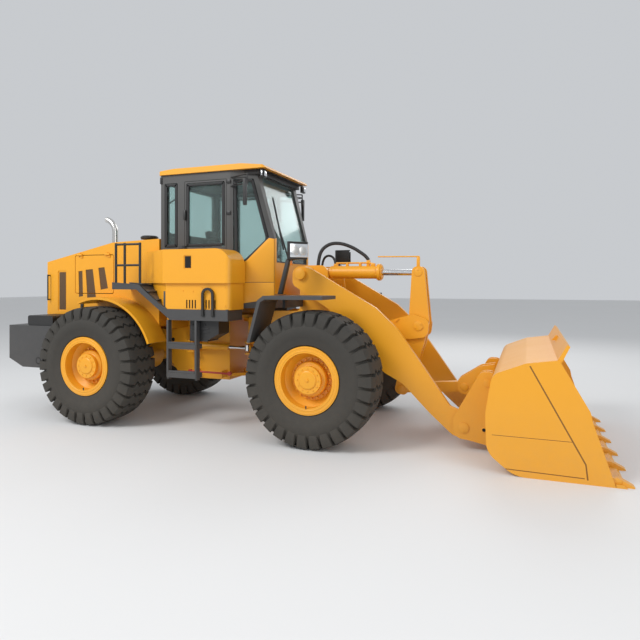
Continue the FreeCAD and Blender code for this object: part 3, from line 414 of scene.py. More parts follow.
def inset(outline, gap):
    """The outline moved inwards by gap, point for point."""
    area = sum(a[0] * b[1] - b[0] * a[1] for a, b in zip(outline, outline[1:] + outline[:1]))
    turn = 1 if area > 0 else -1
    moved = []
    for i, point in enumerate(outline):
        before = Vector(point) - Vector(outline[i - 1])
        after = Vector(outline[(i + 1) % len(outline)]) - Vector(point)
        if before.length < 1e-7:
            before = after
        if after.length < 1e-7:
            after = before
        one = Vector((-before.y, before.x)).normalized() * turn
        two = Vector((-after.y, after.x)).normalized() * turn
        both = (one + two).normalized()
        reach = gap / max(0.3, both.dot(one))
        moved.append((point[0] + both.x * reach, point[1] + both.y * reach))
    return moved


def band(made, outer, inner, low, high):
    """A frame between two like outlines in the XZ plane; low and high may depend on X."""
    def level(face, x):
        return face(x) if callable(face) else face
    rings = []
    for outline, face in ((outer, low), (outer, high), (inner, high), (inner, low)):
        rings.append([made.verts.new((x, level(face, x), z)) for x, z in outline])
    for one, two in zip(rings, rings[1:] + rings[:1]):
        for i in range(len(one)):
            made.faces.new((one[i - 1], one[i], two[i], two[i - 1]))


def sheet_on(made, outline, low, high):
    """A plate in the XZ plane whose faces follow a slanting wall."""
    near = [made.verts.new((x, low(x), z)) for x, z in outline]
    far = [made.verts.new((x, high(x), z)) for x, z in outline]
    made.faces.new(near)
    made.faces.new(list(reversed(far)))
    for i in range(len(near)):
        made.faces.new((near[i - 1], far[i - 1], far[i], near[i]))


def block(made, x0, x1, y0, y1, z0, z1):
    """A plain block between two corners, in stations."""
    prism(made, soft(*rect(x0, x1, z0, z1)), "XZ", y0 / 1000, y1 / 1000)


def disc(made, x, z, radius, y0, y1, steps=32):
    """A round plate or boss on an axis along Y, in stations."""
    turns = [2 * math.pi * i / steps for i in range(steps)]
    ring = [(x + radius * math.cos(t), z + radius * math.sin(t)) for t in turns]
    prism(made, soft(*ring), "XZ", y0 / 1000, y1 / 1000)


def bar(made, start, end, radius, steps=14):
    """A round bar between two places, in stations."""
    a, b = Vector(at(*start)), Vector(at(*end))
    along = (b - a).normalized()
    side = along.orthogonal().normalized()
    up = along.cross(side)
    rings = []
    for spot in (a, b):
        turns = [2 * math.pi * i / steps for i in range(steps)]
        r = radius / 1000
        rings.append([made.verts.new(spot + side * r * math.cos(t) + up * r * math.sin(t)) for t in turns])
    for i in range(steps):
        made.faces.new((rings[0][i - 1], rings[0][i], rings[1][i], rings[1][i - 1]))
    made.faces.new(rings[0])
    made.faces.new(list(reversed(rings[1])))


def spun(made, profile, centre, axis="Y", steps=48, closed=True):
    """Adds a turned form: the profile is (along axis, radius)."""
    rings = []
    for along, radius in profile:
        row = []
        for i in range(steps):
            turn = 2 * math.pi * i / steps
            a, b = radius * math.cos(turn), radius * math.sin(turn)
            spot = {"Y": (a, along, b), "Z": (a, b, along), "X": (along, a, b)}[axis]
            row.append(made.verts.new(Vector(spot) + Vector(centre)))
        rings.append(row)
    for low, high in zip(rings, rings[1:]):
        for i in range(steps):
            j = (i + 1) % steps
            made.faces.new((low[i], low[j], high[j], high[i]))
    if closed:
        made.faces.new(rings[0])
        made.faces.new(list(reversed(rings[-1])))


def bolt_ring(made, centre, out, radius, count, head, depth, side):
    """Hexagon heads on a circle round an axis along Y."""
    for i in range(count):
        turn = 2 * math.pi * i / count
        x = centre[0] + radius * math.cos(turn)
        z = centre[1] + radius * math.sin(turn)
        corners = []
        for k in range(6):
            angle = math.pi * k / 3
            corners.append((x + head * math.cos(angle), z + head * math.sin(angle)))
        low, high = sorted((out, out + side * depth))
        prism(made, corners, "XZ", low, high)


# Settings.

class LoaderLooks(bpy.types.PropertyGroup):
    lug_count: bpy.props.IntProperty(
        name="Lugs", description="Tread bars round a tyre", default=30, min=12, max=40)
    lug_depth: bpy.props.FloatProperty(
        name="Lug depth", description="Height of a tread bar above the tread base",
        default=0.032, unit="LENGTH")
    lens: bpy.props.FloatProperty(
        name="Lens", description="Focal length of the camera in millimetres", default=31.5)
    floor_tone: bpy.props.FloatProperty(
        name="Floor tone", description="How pale the floor is", default=0.72, subtype="FACTOR")


class LOADER_OT_nodes(bpy.types.Operator):
    """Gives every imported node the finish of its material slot."""
    bl_idname = "loader.nodes"
    bl_label = "Finish the frame"

    def execute(self, context):
        slots = {row["node"]: row["material_slot"] for row in FRAME["record"]["subparts"]}
        for name, held in FRAME["nodes"].items():
            held.data.materials.clear()
            made = deck_grey() if name in DARK_NODES else NODE_FINISH[slots[name]]()
            if name == "bucket":
                made = bucket_paint()
            held.data.materials.append(made)
        return {"FINISHED"}


def tyre_section(lug_depth):
    """Half section of the carcass, from the crown to behind the flange: (distance across, radius)."""
    base = TYRE_R - lug_depth
    return (
        (0.0, base), (0.12, base - 0.002), (0.185, base - 0.014), (0.208, base - 0.038),
        (0.226, base - 0.078), (0.240, 0.606), (0.2505, 0.584), (0.2575, 0.565), (TYRE_HALF, 0.530),
        (0.257, 0.475), (0.2535, 0.468), (0.248, 0.430), (0.240, 0.405), (0.235, 0.385),
        (0.222, 0.373), (0.212, 0.369), (0.200, 0.330),
    )


# A tread bar's middle line, from the crown to the shoulder: distance across, lean in pitches.
BAR_LINE = ((0.0, 0.22), (0.045, 0.02), (0.105, 0.36), (0.150, 0.06), (0.205, 0.14))
# How the bar goes over the shoulder: distance across, radius below the crown, half width share.
BAR_SIDE = ((0.238, 0.026, 0.37), (0.2540, 0.075, 0.36), (0.2590, 0.138, 0.30))


class LOADER_OT_tyres(bpy.types.Operator):
    """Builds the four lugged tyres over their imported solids."""
    bl_idname = "loader.tyres"
    bl_label = "Tyres"

    def execute(self, context):
        looks = context.scene.loader_looks
        for name, (x, y) in WHEELS.items():
            made = bmesh.new()
            half = tyre_section(looks.lug_depth)
            profile = [(-a, r) for a, r in reversed(half)] + list(half[1:])
            spun(made, profile, (x, y, TYRE_R), "Y", 120, closed=False)
            self.bars(made, x, y, looks)
            held = piece(f"tyre_detail_{name}", tidy(made), rubber(), f"wheel_{name}")
            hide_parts(f"tyre_{name}")
        return {"FINISHED"}

    def bars(self, made, x, y, looks):
        """Zigzag bars right across the tread, which go over both shoulders."""
        pitch = 2 * math.pi / looks.lug_count
        low_share = 0.06
        rows = []
        for across, lean in BAR_LINE:
            crown = TYRE_R - 0.0005 - 0.012 * (across / TREAD_HALF) ** 3
            rows.append((across, lean, crown, TYRE_R - looks.lug_depth - 0.016, 0.37))
        for across, drop, share in BAR_SIDE:
            rows.append((across, 0.16, TYRE_R - drop, TYRE_R - drop - 0.045, share))
        rows = [(-a, *rest) for a, *rest in reversed(rows[1:])] + rows
        for i in range(looks.lug_count):
            strips = []
            for across, lean, high, low, share in rows:
                middle = pitch * (i + lean)
                wide = pitch * share
                inner = across * (0.955 if abs(across) > 0.23 else 1.0)
                corners = (
                    (inner, low, -wide - pitch * low_share), (across, high, -wide),
                    (across, high, wide), (inner, low, wide + pitch * low_share),
                )
                strips.append([
                    made.verts.new((
                        x + radius * math.cos(middle + turn), y + out,
                        TYRE_R + radius * math.sin(middle + turn),
                    ))
                    for out, radius, turn in corners
                ])
            for near, far in zip(strips, strips[1:]):
                for k in range(3):
                    made.faces.new((near[k], near[k + 1], far[k + 1], far[k]))
            made.faces.new(strips[0])
            made.faces.new(list(reversed(strips[-1])))


class LOADER_OT_hubs(bpy.types.Operator):
    """Adds the lock ring, the hub's drum, the wheel nuts and the hub's bolts."""
    bl_idname = "loader.hubs"
    bl_label = "Wheel hubs"

    def execute(self, context):
        for name, (x, y) in WHEELS.items():
            side = LEFT if y > 0 else RIGHT
            middle = (x, y, TYRE_R)
            made = bmesh.new()
            bolt_ring(made, (x, TYRE_R), y + side * 0.059, 0.214, 20, 0.014, 0.024, side)
            bolt_ring(made, (x, TYRE_R), y + side * 0.189, 0.122, 12, 0.009, 0.008, side)
            drum = ((0.061, 0.192), (0.118, 0.192), (0.132, 0.182), (0.136, 0.154), (0.140, 0.149))
            spun(made, [(side * a, r) for a, r in drum], middle, "Y", 56)
            cap = ((0.186, 0.100), (0.196, 0.100), (0.202, 0.090), (0.203, 0.030))
            spun(made, [(side * a, r) for a, r in cap], middle, "Y", 48)
            spun(made, [(side * 0.200, 0.016), (side * 0.214, 0.016)], middle, "Y", 6)
            for radius, width in ((0.352, 0.005), (0.318, 0.006)):
                ring = ((0.2345, radius - width), (0.2385, radius - width * 0.4),
                        (0.2385, radius + width * 0.4), (0.2345, radius + width))
                spun(made, [(side * a, r) for a, r in ring], middle, "Y", 72, closed=False)
            piece(f"hub_bolts_{name}", tidy(made), yellow(), f"wheel_{name}", 0.0015)
            made = bmesh.new()
            foot = ((x - STATION_ZERO) * 1000, (y + side * 0.233) * 1000, (TYRE_R - 0.300) * 1000)
            bar(made, foot, (foot[0], foot[1] + side * 6, foot[2] + 34), 7)
            piece(f"valve_{name}", tidy(made), black(), f"wheel_{name}", 0.003)
        return {"FINISHED"}


def flank(x):
    """Half width of the cab at a place along X, where its sides draw in."""
    share = max(0.0, (x - STATION_ZERO - 0.25) / 0.55)
    return 0.68 - 0.12 * share


QUARTER_WINDOW = soft(
    (290, 3080, 20), (545, 3080, 20), (735, 2350, 20), (690, 2340, 30), (545, 1958, 120), (290, 1958, 40))
REAR_WINDOW = soft(*rect(-715, -515, 2250, 3080, 20))
SIDE_WINDOW = soft(*rect(-385, 175, 2250, 3065, 20))
DOOR_WINDOW = soft(*rect(-385, 175, 2050, 3065, 20))


class LOADER_OT_cab(bpy.types.Operator):
    """Adds the yellow skirt, the window gaskets and the dark band under the roof."""
    bl_idname = "loader.cab"
    bl_label = "Cab panels"

    def execute(self, context):
        upper = soft((252, 1803), (798, 1803), (798, 2333), (738, 2345), (693, 2340, 22),
                     (545, 1956, 118), (252, 1956))
        lower = soft((252, 1470), (283, 1510), (339, 1529), (520, 1556), (774, 1594), (798, 1594),
                     (798, 1797), (252, 1797))
        face = facing((-558, 1594), (558, 1594), (558, 2333), (500, 2345), (500, 2045), (-500, 2045),
                      (-500, 2345), (-558, 2333))
        front = 0.8 + STATION_ZERO
        for word, side in SIDES:
            made = bmesh.new()
            for shape in (upper, lower):
                sheet_on(made, shape, lambda x: side * (flank(x) - 0.001),
                         lambda x: side * (flank(x) + 0.006))
            piece(f"cab_skirt_{word}", tidy(made), yellow(), "rear", 0.003)
            made = bmesh.new()
            windows = [QUARTER_WINDOW, REAR_WINDOW] + ([SIDE_WINDOW] if side == RIGHT else [])
            for shape in windows:
                band(made, inset(shape, -0.012), inset(shape, 0.020),
                     lambda x: side * (flank(x) - 0.0205), lambda x: side * (flank(x) + 0.0045))
            piece(f"window_gaskets_{word}", tidy(made), gasket(), "rear", 0.002)
        made = bmesh.new()
        band(made, inset(DOOR_WINDOW, -0.012), inset(DOOR_WINDOW, 0.020), 0.6595, 0.6845)
        piece("door_gasket", tidy(made), gasket(), "cab_door", 0.002)
        slab_piece("cab_front_panel", face, "YZ", front - 0.001, front + 0.006, yellow(), "rear",
                   0.003)
        # A thin line of painted shade round the right pane, where the gap round it is dark.
        made = bmesh.new()
        seam = soft(*rect(-440, 230, 1560, 3120, 30))
        band(made, seam, inset(seam, 0.006), -0.6808, -0.6795)
        piece("pane_seam_shade", tidy(made), black_and_hole_shade(), "rear")
        roof_band = soft(*rect(-788, 690, -700, 700, 60))
        slab_piece("roof_band", roof_band, "XY", 3.128, 3.1895, black(), "rear", 0.006)
        edge = soft(*rect(-796, 741, -706, 706, 58))
        slab_piece("roof_lip", edge, "XY", 3.1805, 3.1898, gasket(), "rear", 0.002)
        made = bmesh.new()
        for x in (-600, 560):
            for y in (-560, 560):
                spun(made, [(3.226, 0.020), (3.242, 0.020), (3.248, 0.012)],
                     (x / 1000 + STATION_ZERO, y / 1000, 0), "Z", 20)
        piece("roof_caps", tidy(made), black(), "rear", 0.002)
        return {"FINISHED"}


class LOADER_OT_cab_fittings(bpy.types.Operator):
    """Adds mirrors, wipers, handles, roof lamps and the controls inside the cab."""
    bl_idname = "loader.cab_fittings"
    bl_label = "Cab fittings"

    def execute(self, context):
        for word, side in SIDES:
            made = bmesh.new()
            start = 262
            out = side * (flank(start / 1000 + STATION_ZERO) * 1000 - 4)
            for high in (3100, 2990):
                bar(made, (start, out, high), (588, side * 860, high - 6), 9)
                bar(made, (start, out, high), (588, side * 862, high + (-50 if high > 3050 else 56)), 7)
            bar(made, (588, side * 862, 3098), (588, side * 862, 2960), 9)
            bar(made, (588, side * 862, 2972), (582, side * 900, 2930), 10)
            shape = facing((side * 820, 2645, 70), (side * 990, 2645, 70), (side * 990, 3085, 60),
                           (side * 820, 3085, 60))
            prism(made, shape, "YZ", *(p / 1000 + STATION_ZERO for p in (562, 598)))
            held = piece(f"mirror_{word}", tidy(made), black(), "rear", 0.010, 3)
            if side == RIGHT:
                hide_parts("mirrors")
            shape = inset(shape, 0.014)
            slab_piece(f"mirror_glass_{word}", shape, "YZ", 0.5595 + STATION_ZERO, 0.563 + STATION_ZERO,
                       bright(), "rear", 0.0015)
            made = bmesh.new()
            for x0, x1 in ((-786, -742), (664, 716)):
                prism(made, soft(*rect(x0, x1, 3072, 3176, 10)), "XZ",
                      *pair(side, 0.58, 0.692))
            piece(f"roof_lamps_{word}", tidy(made), black(), "rear", 0.006)
            made = bmesh.new()
            shape = facing(*rect(side * 592, side * 680, 3084, 3164, 12))
            prism(made, shape, "YZ", 0.7155 + STATION_ZERO, 0.7215 + STATION_ZERO)
            prism(made, shape, "YZ", -0.7905 + STATION_ZERO, -0.7855 + STATION_ZERO)
            prism(made, soft(*rect(676, 710, 3090, 3160, 10)), "XZ",
                  *pair(side, 0.6915, 0.6945))
            piece(f"roof_lenses_{word}", tidy(made), lens_glass(), "rear", 0.002)
        made = bmesh.new()
        bar(made, (826, -190, 2100), (770, -400, 2560), 9)
        bar(made, (822, -330, 2210), (718, -430, 2860), 11)
        bar(made, (806, -190, 2080), (834, -190, 2104), 18)
        bar(made, (-792, -60, 3100), (-786, -480, 2850), 8)
        bar(made, (-784, -250, 2990), (-784, -520, 2835), 10)
        piece("wipers", tidy(made), black(), "rear")
        made = bmesh.new()
        for z in (3030, 2640):
            block(made, 206, 262, -693, -679, z, z + 46)
        block(made, -410, -380, -712, -679, 2600, 2720)
        piece("pane_catches", tidy(made), black(), "rear", 0.004)
        made = bmesh.new()
        block(made, 150, 196, 678, 702, 1960, 2010)
        block(made, 60, 196, 702, 716, 1972, 1998)
        piece("door_handle", tidy(made), black(), "cab_door", 0.005)
        made = bmesh.new()
        for y0, y1 in ((-520, -300), (300, 440)):
            prism(made, soft((-420, 1532), (60, 1532, 30), (110, 1960, 60), (20, 2010, 40), (-420, 1980, 60)),
                  "XZ", y0 / 1000, y1 / 1000)
        prism(made, soft((470, 1532), (726, 1532), (726, 1960, 30), (560, 2100, 60), (500, 2060, 40)), "XZ",
              -0.36, 0.36)
        for x, y in ((-10, -450), (30, -380), (70, -450)):
            bar(made, (x, y, 1960), (x + 30, y, 2110), 8)
            bar(made, (x + 28, y, 2100), (x + 36, y, 2150), 18)
        bar(made, (560, 0, 1900), (430, 0, 2120), 34)
        piece("cab_controls", tidy(made), black(), "rear", 0.008)
        mat = soft((-700, -600), (230, -600), (700, -480), (700, 480), (230, 600), (-700, 600))
        slab_piece("cab_mat", mat, "XY", 1.5305, 1.538, gasket(), "rear", 0.002)
        return {"FINISHED"}


def swell(held, cap):
    """Lets a pad fill out as cloth under pressure; no point moves further than cap."""
    scene = bpy.context.scene
    start = [v.co.copy() for v in held.data.vertices]
    puff = held.modifiers.new("puff", "CLOTH")
    puff.settings.use_pressure = True
    puff.settings.uniform_pressure_force = 4.0
    puff.settings.effector_weights.gravity = 0
    puff.settings.quality = 4
    for frame in range(1, 21):
        scene.frame_set(frame)
    made = held.evaluated_get(bpy.context.evaluated_depsgraph_get()).to_mesh()
    moved = [v.co.copy() for v in made.vertices]
    held.evaluated_get(bpy.context.evaluated_depsgraph_get()).to_mesh_clear()
    held.modifiers.remove(puff)
    for vertex, before, after in zip(held.data.vertices, start, moved):
        step = after - before
        if step.length > cap:
            step *= cap / step.length
        vertex.co = before + step
    scene.frame_set(1)


def pad(name, middle, half, lean, channels):
    """A crowned cushion: a rounded block whose faces bulge, with sewn channels pressed in across it."""
    steps = 36
    made = bmesh.new()
    bmesh.ops.create_cube(made, size=2)
    bmesh.ops.subdivide_edges(made, edges=made.edges[:], cuts=steps, use_grid_fill=True)
    turn = Matrix.Rotation(math.radians(lean), 4, "Y")
    for vertex in made.verts:
        u, v, w = vertex.co
        length = (abs(u) ** 5 + abs(v) ** 5 + abs(w) ** 5) ** 0.2
        u, v, w = u / length, v / length, w / length
        crown = 0.80 + 0.20 * (1 - u * u) * (1 - v * v)
        pinch = 1 - 0.045 * (1 - w * w) * (abs(u) ** 6 + abs(v) ** 6)
        vertex.co = Vector((u * half[0] * pinch, v * half[1] * pinch, w * half[2] * crown))
    data = bpy.data.meshes.new(name)
    made.to_mesh(data)
    made.free()
    held = bpy.data.objects.new(name, data)
    bpy.context.scene.collection.objects.link(held)
    swell(held, 0.006)
    for vertex in data.vertices:
        u, w = vertex.co.x / half[0], vertex.co.z / half[2]
        for mark in channels:
            dent = math.exp(-((u - mark) * half[0] / 0.012) ** 2)
            if w > 0:
                vertex.co.z -= 0.010 * dent * min(1.0, w * 1.5)
    data.transform(Matrix.Translation(middle) @ turn)
    for face in data.polygons:
        face.use_smooth = True
    smooth = held.modifiers.new("smooth", "SUBSURF")
    smooth.levels = 1
    smooth.render_levels = 1
    data.materials.append(cloth())
    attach(held, "rear")
    return held


class LOADER_OT_seat(bpy.types.Operator):
    """Makes the operator's seat: cushions, head rest, arm rests and the sprung base."""
    bl_idname = "loader.seat"
    bl_label = "Operator seat"

    def execute(self, context):
        made = bmesh.new()
        prism(made, soft((-310, 1532, 20), (30, 1532, 20), (10, 1600, 20), (30, 1790, 30), (-310, 1790, 30),
                         (-290, 1600, 20)), "XZ", -0.16, 0.16)
        prism(made, soft((-350, 1792, 20), (80, 1792, 30), (80, 1830, 20), (-350, 1830, 20)), "XZ",
              -0.235, 0.235)
        prism(made, soft((-352, 1800, 20), (-470, 2380, 30), (-425, 2390, 20), (-318, 1830, 20)), "XZ",
              -0.21, 0.21)
        for y in (-250, 214):
            prism(made, soft((-365, 2040, 20), (-60, 2055, 26), (-60, 2095, 22), (-375, 2085, 20)), "XZ",
                  y / 1000, (y + 36) / 1000)
        for y in (-60, 60):
            bar(made, (-452, y, 2370), (-466, y, 2430), 8)
        held = piece("seat_frame", tidy(made), black(), "rear", 0.008)
        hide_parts("operator_seat")
        pad("seat_cushion", at(-132, 0, 1888), (0.205, 0.222, 0.060), 0, (-0.34, 0.10, 0.54))
        pad("seat_back", at(-352, 0, 2135), (0.245, 0.205, 0.050), 79, (-0.45, 0.0, 0.45))
        pad("seat_head_rest", at(-436, 0, 2458), (0.055, 0.115, 0.036), 80, ())
        return {"FINISHED"}


TALL_SCREEN = soft(*rect(-2507, -2350, 1400, 1965, 20))
LEANING_SCREENS = (
    ((-2130, 1600), (-2060, 1610), (-2070, 1962), (-2141, 1955)),
    ((-1985, 1590), (-1835, 1600), (-1890, 1985), (-2015, 1975)),
    ((-1755, 1700), (-1630, 1720), (-1690, 2008), (-1795, 2000)),
)
# The hood door's lower edge and the sill below it.
DOOR_FOOT, SILL = 1655, 1644


def part_above(corners, level):
    """The part of a four-cornered window above a level; its first two corners are the lower ones."""
    (x0, z0), (x1, z1), right, left = corners
    if min(z0, z1) >= level:
        return corners
    share0 = max(0.0, (level - z0) / (left[1] - z0))
    share1 = max(0.0, (level - z1) / (right[1] - z1))
    return ((x0 + (left[0] - x0) * share0, max(z0, level)),
            (x1 + (right[0] - x1) * share1, max(z1, level)), right, left)


def part_below(corners, level):
    """The part of the same window below a level, or nothing."""
    (x0, z0), (x1, z1), right, left = corners
    if min(z0, z1) >= level:
        return None
    share0, share1 = (level - z0) / (left[1] - z0), (level - z1) / (right[1] - z1)
    return ((x0, z0), (x1, z1), (x1 + (right[0] - x1) * share1, level),
            (x0 + (left[0] - x0) * share0, level))


class LOADER_OT_hood(bpy.types.Operator):
    """Adds the hood's screened windows, latches, grab handles and the counterweight's holes as discs of
    painted shade.
    """
    bl_idname = "loader.hood"
    bl_label = "Hood windows"

    def execute(self, context):
        for word, side in SIDES:
            near, far = pair(side, 0.6722, 0.6745)
            slab_piece(f"screen_tall_{word}", inset(TALL_SCREEN, 0.001), "XZ", near, far, mesh_screen(),
                       "rear", 0)
            made = bmesh.new()
            sill = bmesh.new()
            for corners in LEANING_SCREENS:
                prism(made, inset(soft(*part_above(corners, DOOR_FOOT)), 0.001), "XZ", near, far)
                below = part_below(corners, SILL)
                if below:
                    prism(sill, soft(*below), "XZ", *pair(side, 0.679, 0.6808))
            piece(f"screens_leaning_{word}", tidy(made), mesh_screen(), f"hood_door_{word}")
            piece(f"screens_sill_{word}", tidy(sill), mesh_screen(), "rear")
            made = bmesh.new()
            y0, y1 = pair(side, 679, 697)
            block(made, -2090, -2044, y0, y1, 1440, 1540)
            bar(made, (-2060, side * 688, 1455), (-2060, side * 712, 1455), 12)
            for z in (1560, 1900):
                bar(made, (-2650, side * 678, z), (-2650, side * 722, z), 9)
            bar(made, (-2650, side * 722, 1548), (-2650, side * 722, 1912), 9)
            piece(f"hood_handle_{word}", tidy(made), black(), "rear", 0.003)
            # The counterweight's hole is a thin disc of painted shade on its side.
            made = bmesh.new()
            disc(made, -2366, 762, 34, *pair(side, 1149.4, 1149.9))
            piece(f"weight_hole_shade_{word}", tidy(made), black_and_hole_shade(), "rear")
            made = bmesh.new()
            ring = ((1.1485, 0.046), (1.1500, 0.044), (1.1500, 0.036), (1.1485, 0.034))
            spun(made, [(side * a, r) for a, r in ring], at(-2366, 0, 762), "Y", 32, closed=False)
            piece(f"weight_ring_{word}", tidy(made), deck_grey(), "rear")
            made = bmesh.new()
            shape = facing(*rect(side * 930, side * 1090, 1010, 1110, 20))
            prism(made, shape, "YZ", -2.8795 + STATION_ZERO, -2.870 + STATION_ZERO)
            piece(f"rear_lamp_{word}", tidy(made), amber(), "rear", 0.003)
        made = bmesh.new()
        for z, radius in ((2.352, 0.062), (2.30, 0.05)):
            spun(made, [(z - 0.012, radius), (z + 0.012, radius)], at(-2090, 0, 0), "Z", 32)
        piece("exhaust_collar", tidy(made), bright(), "rear", 0.002)
        made = bmesh.new()
        spun(made, [(2.384, 0.0565), (2.384, 0.062), (2.402, 0.062), (2.402, 0.0565)],
             at(-1470, 0, 0), "Z", 32, closed=False)
        piece("precleaner_clamp", tidy(made), bright(), "rear")
        made = bmesh.new()
        for y in (-430, 430):
            prism(made, soft(*rect(-1300, -1100, y - 60, y + 60, 20)),
                  "XY", 2.335, 2.366)
        piece("hood_caps", tidy(made), yellow(), "rear", 0.006)
        return {"FINISHED"}


class LOADER_OT_tanks(bpy.types.Operator):
    """Adds the tank's dark level gauge, the tank caps, the panel's vents as dark slots of painted shade, and
    small bolts.
    """
    bl_idname = "loader.tanks"
    bl_label = "Tank fittings"

    def execute(self, context):
        made = bmesh.new()
        gauge = soft(*rect(-165, -57, 1960, 2126, 12))
        prism(made, inset(gauge, 0.0015), "XZ", -1.0550, -1.0522)
        # The panel's vent slots are thin sheets of painted shade, not openings.
        for first in (-160, 110):
            for i in range(4):
                slot = first + 40 * i
                prism(made, soft(*rect(slot, slot + 20, 1485.5, 1587.5)), "XZ",
                      -1.0134, -1.0122)
        piece("gauge_and_vent_shade", tidy(made), black_and_hole_shade(), "rear")
        made = bmesh.new()
        for x, y in ((-300, -880), (-700, 860)):
            spun(made, [(2.1995, 0.055), (2.226, 0.055), (2.232, 0.048), (2.246, 0.048), (2.252, 0.040)],
                 at(x, y, 0), "Z", 32)
        piece("tank_caps", tidy(made), black(), "rear", 0.002)
        made = bmesh.new()
        for x, z in ((-200, 1700), (-60, 1690), (60, 1740), (380, 1740), (380, 1520)):
            bar(made, (x, -1019, z), (x, -1026, z), 9, 6)
        piece("panel_bolts", tidy(made), yellow(), "rear")
        made = bmesh.new()
        for x in (89, 225):
            block(made, x - 22, x + 22, -1048, -1034.5, 1392, 1424)
        piece("handle_feet", tidy(made), black(), "rear", 0.003)
        return {"FINISHED"}


class LOADER_OT_decks(bpy.types.Operator):
    """Adds stringers and treads on the decks, ladder plates, the lock bar and the frame's holes as discs of
    painted shade.
    """
    bl_idname = "loader.decks"
    bl_label = "Decks and steps"

    def execute(self, context):
        rail = soft((-430, 1469), (-452, 1492), (-486, 1500), (-842, 1802, 30), (-1256, 1802), (-1256, 1769),
                    (-840, 1769), (-480, 1469))
        for word, side in SIDES:
            made = bmesh.new()
            for y in (686, 1015) if side == RIGHT else (1015,):
                prism(made, rail, "XZ", *sorted((side * y / 1000, side * (y + 19.5) / 1000)))
            for x, z in ((-600, 1562), (-724, 1665), (-838, 1760)):
                prism(made, soft(*rect(x - 30, x + 26, z + 16, z + 30)), "XZ",
                      *pair(side, 0.706, 1.014))
            # The left post stays below the swing of the cab's door.
            block(made, -490, -464, *pair(side, 986, 1012), 1440, 1690 if side == RIGHT else 1540)
            block(made, 392, 419.5, *pair(side, 690, 1034), 1471, 1478)
            piece(f"stringers_{word}", tidy(made), deck_grey(), "rear", 0.003)
            made = bmesh.new()
            prism(made, soft((-488, 1470), (-840, 1763.5), (-840, 1769.5), (-480, 1472)), "XZ",
                  *pair(side, 0.7065, 1.0145))
            block(made, -470, 388, *pair(side, 1021, 1033), 1470, 1473)
            block(made, -1240, -860, *pair(side, 706.5, 1014.5), 1770, 1773)
            piece(f"treads_{word}", tidy(made), tread_plate(), "rear")
            made = bmesh.new()
            for z in (700, 1050):
                for i in range(7):
                    y = side * (900 + 20 * i)
                    block(made, -402, -38, *sorted((y - 4, y + 4)), z, z + 7)
            for x0, x1 in ((-434, -406), (-34, -6)):
                block(made, x0, x1, *pair(side, 1020.5, 1032), 640, 1340)
            block(made, -404, -36, *pair(side, 1022, 1034), 700, 726)
            block(made, -404, -36, *pair(side, 1022, 1034), 1050, 1076)
            piece(f"ladder_plates_{word}", tidy(made), deck_grey(), "rear", 0.002)
            # The frame's holes are thin discs of painted shade on its side.
            made = bmesh.new()
            disc(made, -292, 976, 22, *pair(side, 313.2, 313.8))
            disc(made, -560, 1090, 14, *pair(side, 313.2, 313.8))
            disc(made, -840, 1020, 26, *pair(side, 313.2, 313.8))
            piece(f"frame_hole_shade_{word}", tidy(made), black_and_hole_shade(), "rear")
            made = bmesh.new()
            for z in (1190, 1232):
                block(made, -120, 120, *pair(side, 949, 957), z, z + 12)
            block(made, -150, 100, *pair(side, 700, 955), 1084, 1100)
            for x in (-110, 60):
                bar(made, (x, side * 948, 1285), (x, side * 962, 1285), 10, 6)
            piece(f"battery_straps_{word}", tidy(made), black(), "rear", 0.002)
        made = bmesh.new()
        bar(made, (-470, -450, 628), (120, -450, 622), 13)
        for x in (-470, 120):
            bar(made, (x - 6, -466, 625), (x - 6, -434, 625), 27, 20)
        piece("lock_bar", tidy(made), red(), "rear")
        made = bmesh.new()
        for x in (-420, -10):
            block(made, x - 12, x + 12, -452, -312, 560, 648)
        piece("lock_bar_lugs", tidy(made), yellow(), "rear", 0.003)
        return {"FINISHED"}


class LOADER_OT_lamps(bpy.types.Operator):
    """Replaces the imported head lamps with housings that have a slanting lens, and adds turn lamps."""
    bl_idname = "loader.lamps"
    bl_label = "Head lamps"

    def execute(self, context):
        for word, side in SIDES:
            made = bmesh.new()
            shell = ((1095, 850), (1150, 985), (1196, 1012), (1342, 822), (1342, 790), (1130, 790))
            for low, high, grow in ((2062, 2250, 0), (2248, 2262, 8)):
                plan = soft(*[(x + (grow if x > 1300 else 0), side * (y + (grow if y > 1000 else 0)), 10)
                              for x, y in shell])
                prism(made, plan, "XY", low / 1000, high / 1000)
            prism(made, soft((1000, 1650, 10), (1112, 2070, 10), (1172, 2070, 10), (1066, 1650, 10)), "XZ",
                  *pair(side, 0.872, 0.928))
            prism(made, soft(*rect(980, 1100, 1649, 1672, 10)), "XZ",
                  *pair(side, 0.85, 0.95))
            held = piece(f"head_lamp_{word}", tidy(made), black(), "front", 0.008, 3)
            if side == RIGHT:
                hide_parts("head_lamps")
            made = bmesh.new()
            a, b = Vector((1204, side * 1010)), Vector((1347, side * 824))
            out = Vector((0.79, side * 0.61)) * 7
            plan = soft(tuple(a), tuple(b), tuple(b + out), tuple(a + out))
            prism(made, plan, "XY", 2.082, 2.236)
            piece(f"head_lens_{word}", tidy(made), lens_glass(), "front", 0.004)
            made = bmesh.new()
            for share in (0.30, 0.70):
                spot = a.lerp(b, share)
                start = (spot.x + out.x * 0.9, spot.y + out.y * 0.9, 2159)
                end = (spot.x + out.x * 1.35, spot.y + out.y * 1.35, 2159)
                bar(made, start, end, 50, 28)
            piece(f"head_bowls_{word}", tidy(made), bright(), "front", 0.002)
            made = bmesh.new()
            shape = facing(*rect(side * 880, side * 925, 1985, 2055, 8))
            prism(made, shape, "YZ", 1.168 + STATION_ZERO, 1.186 + STATION_ZERO)
            piece(f"turn_lamp_{word}", tidy(made), amber(), "front", 0.003)
        return {"FINISHED"}


# The tilt cylinder's rear pin: its station and height.
TILT_BASE = (1260, 1930)


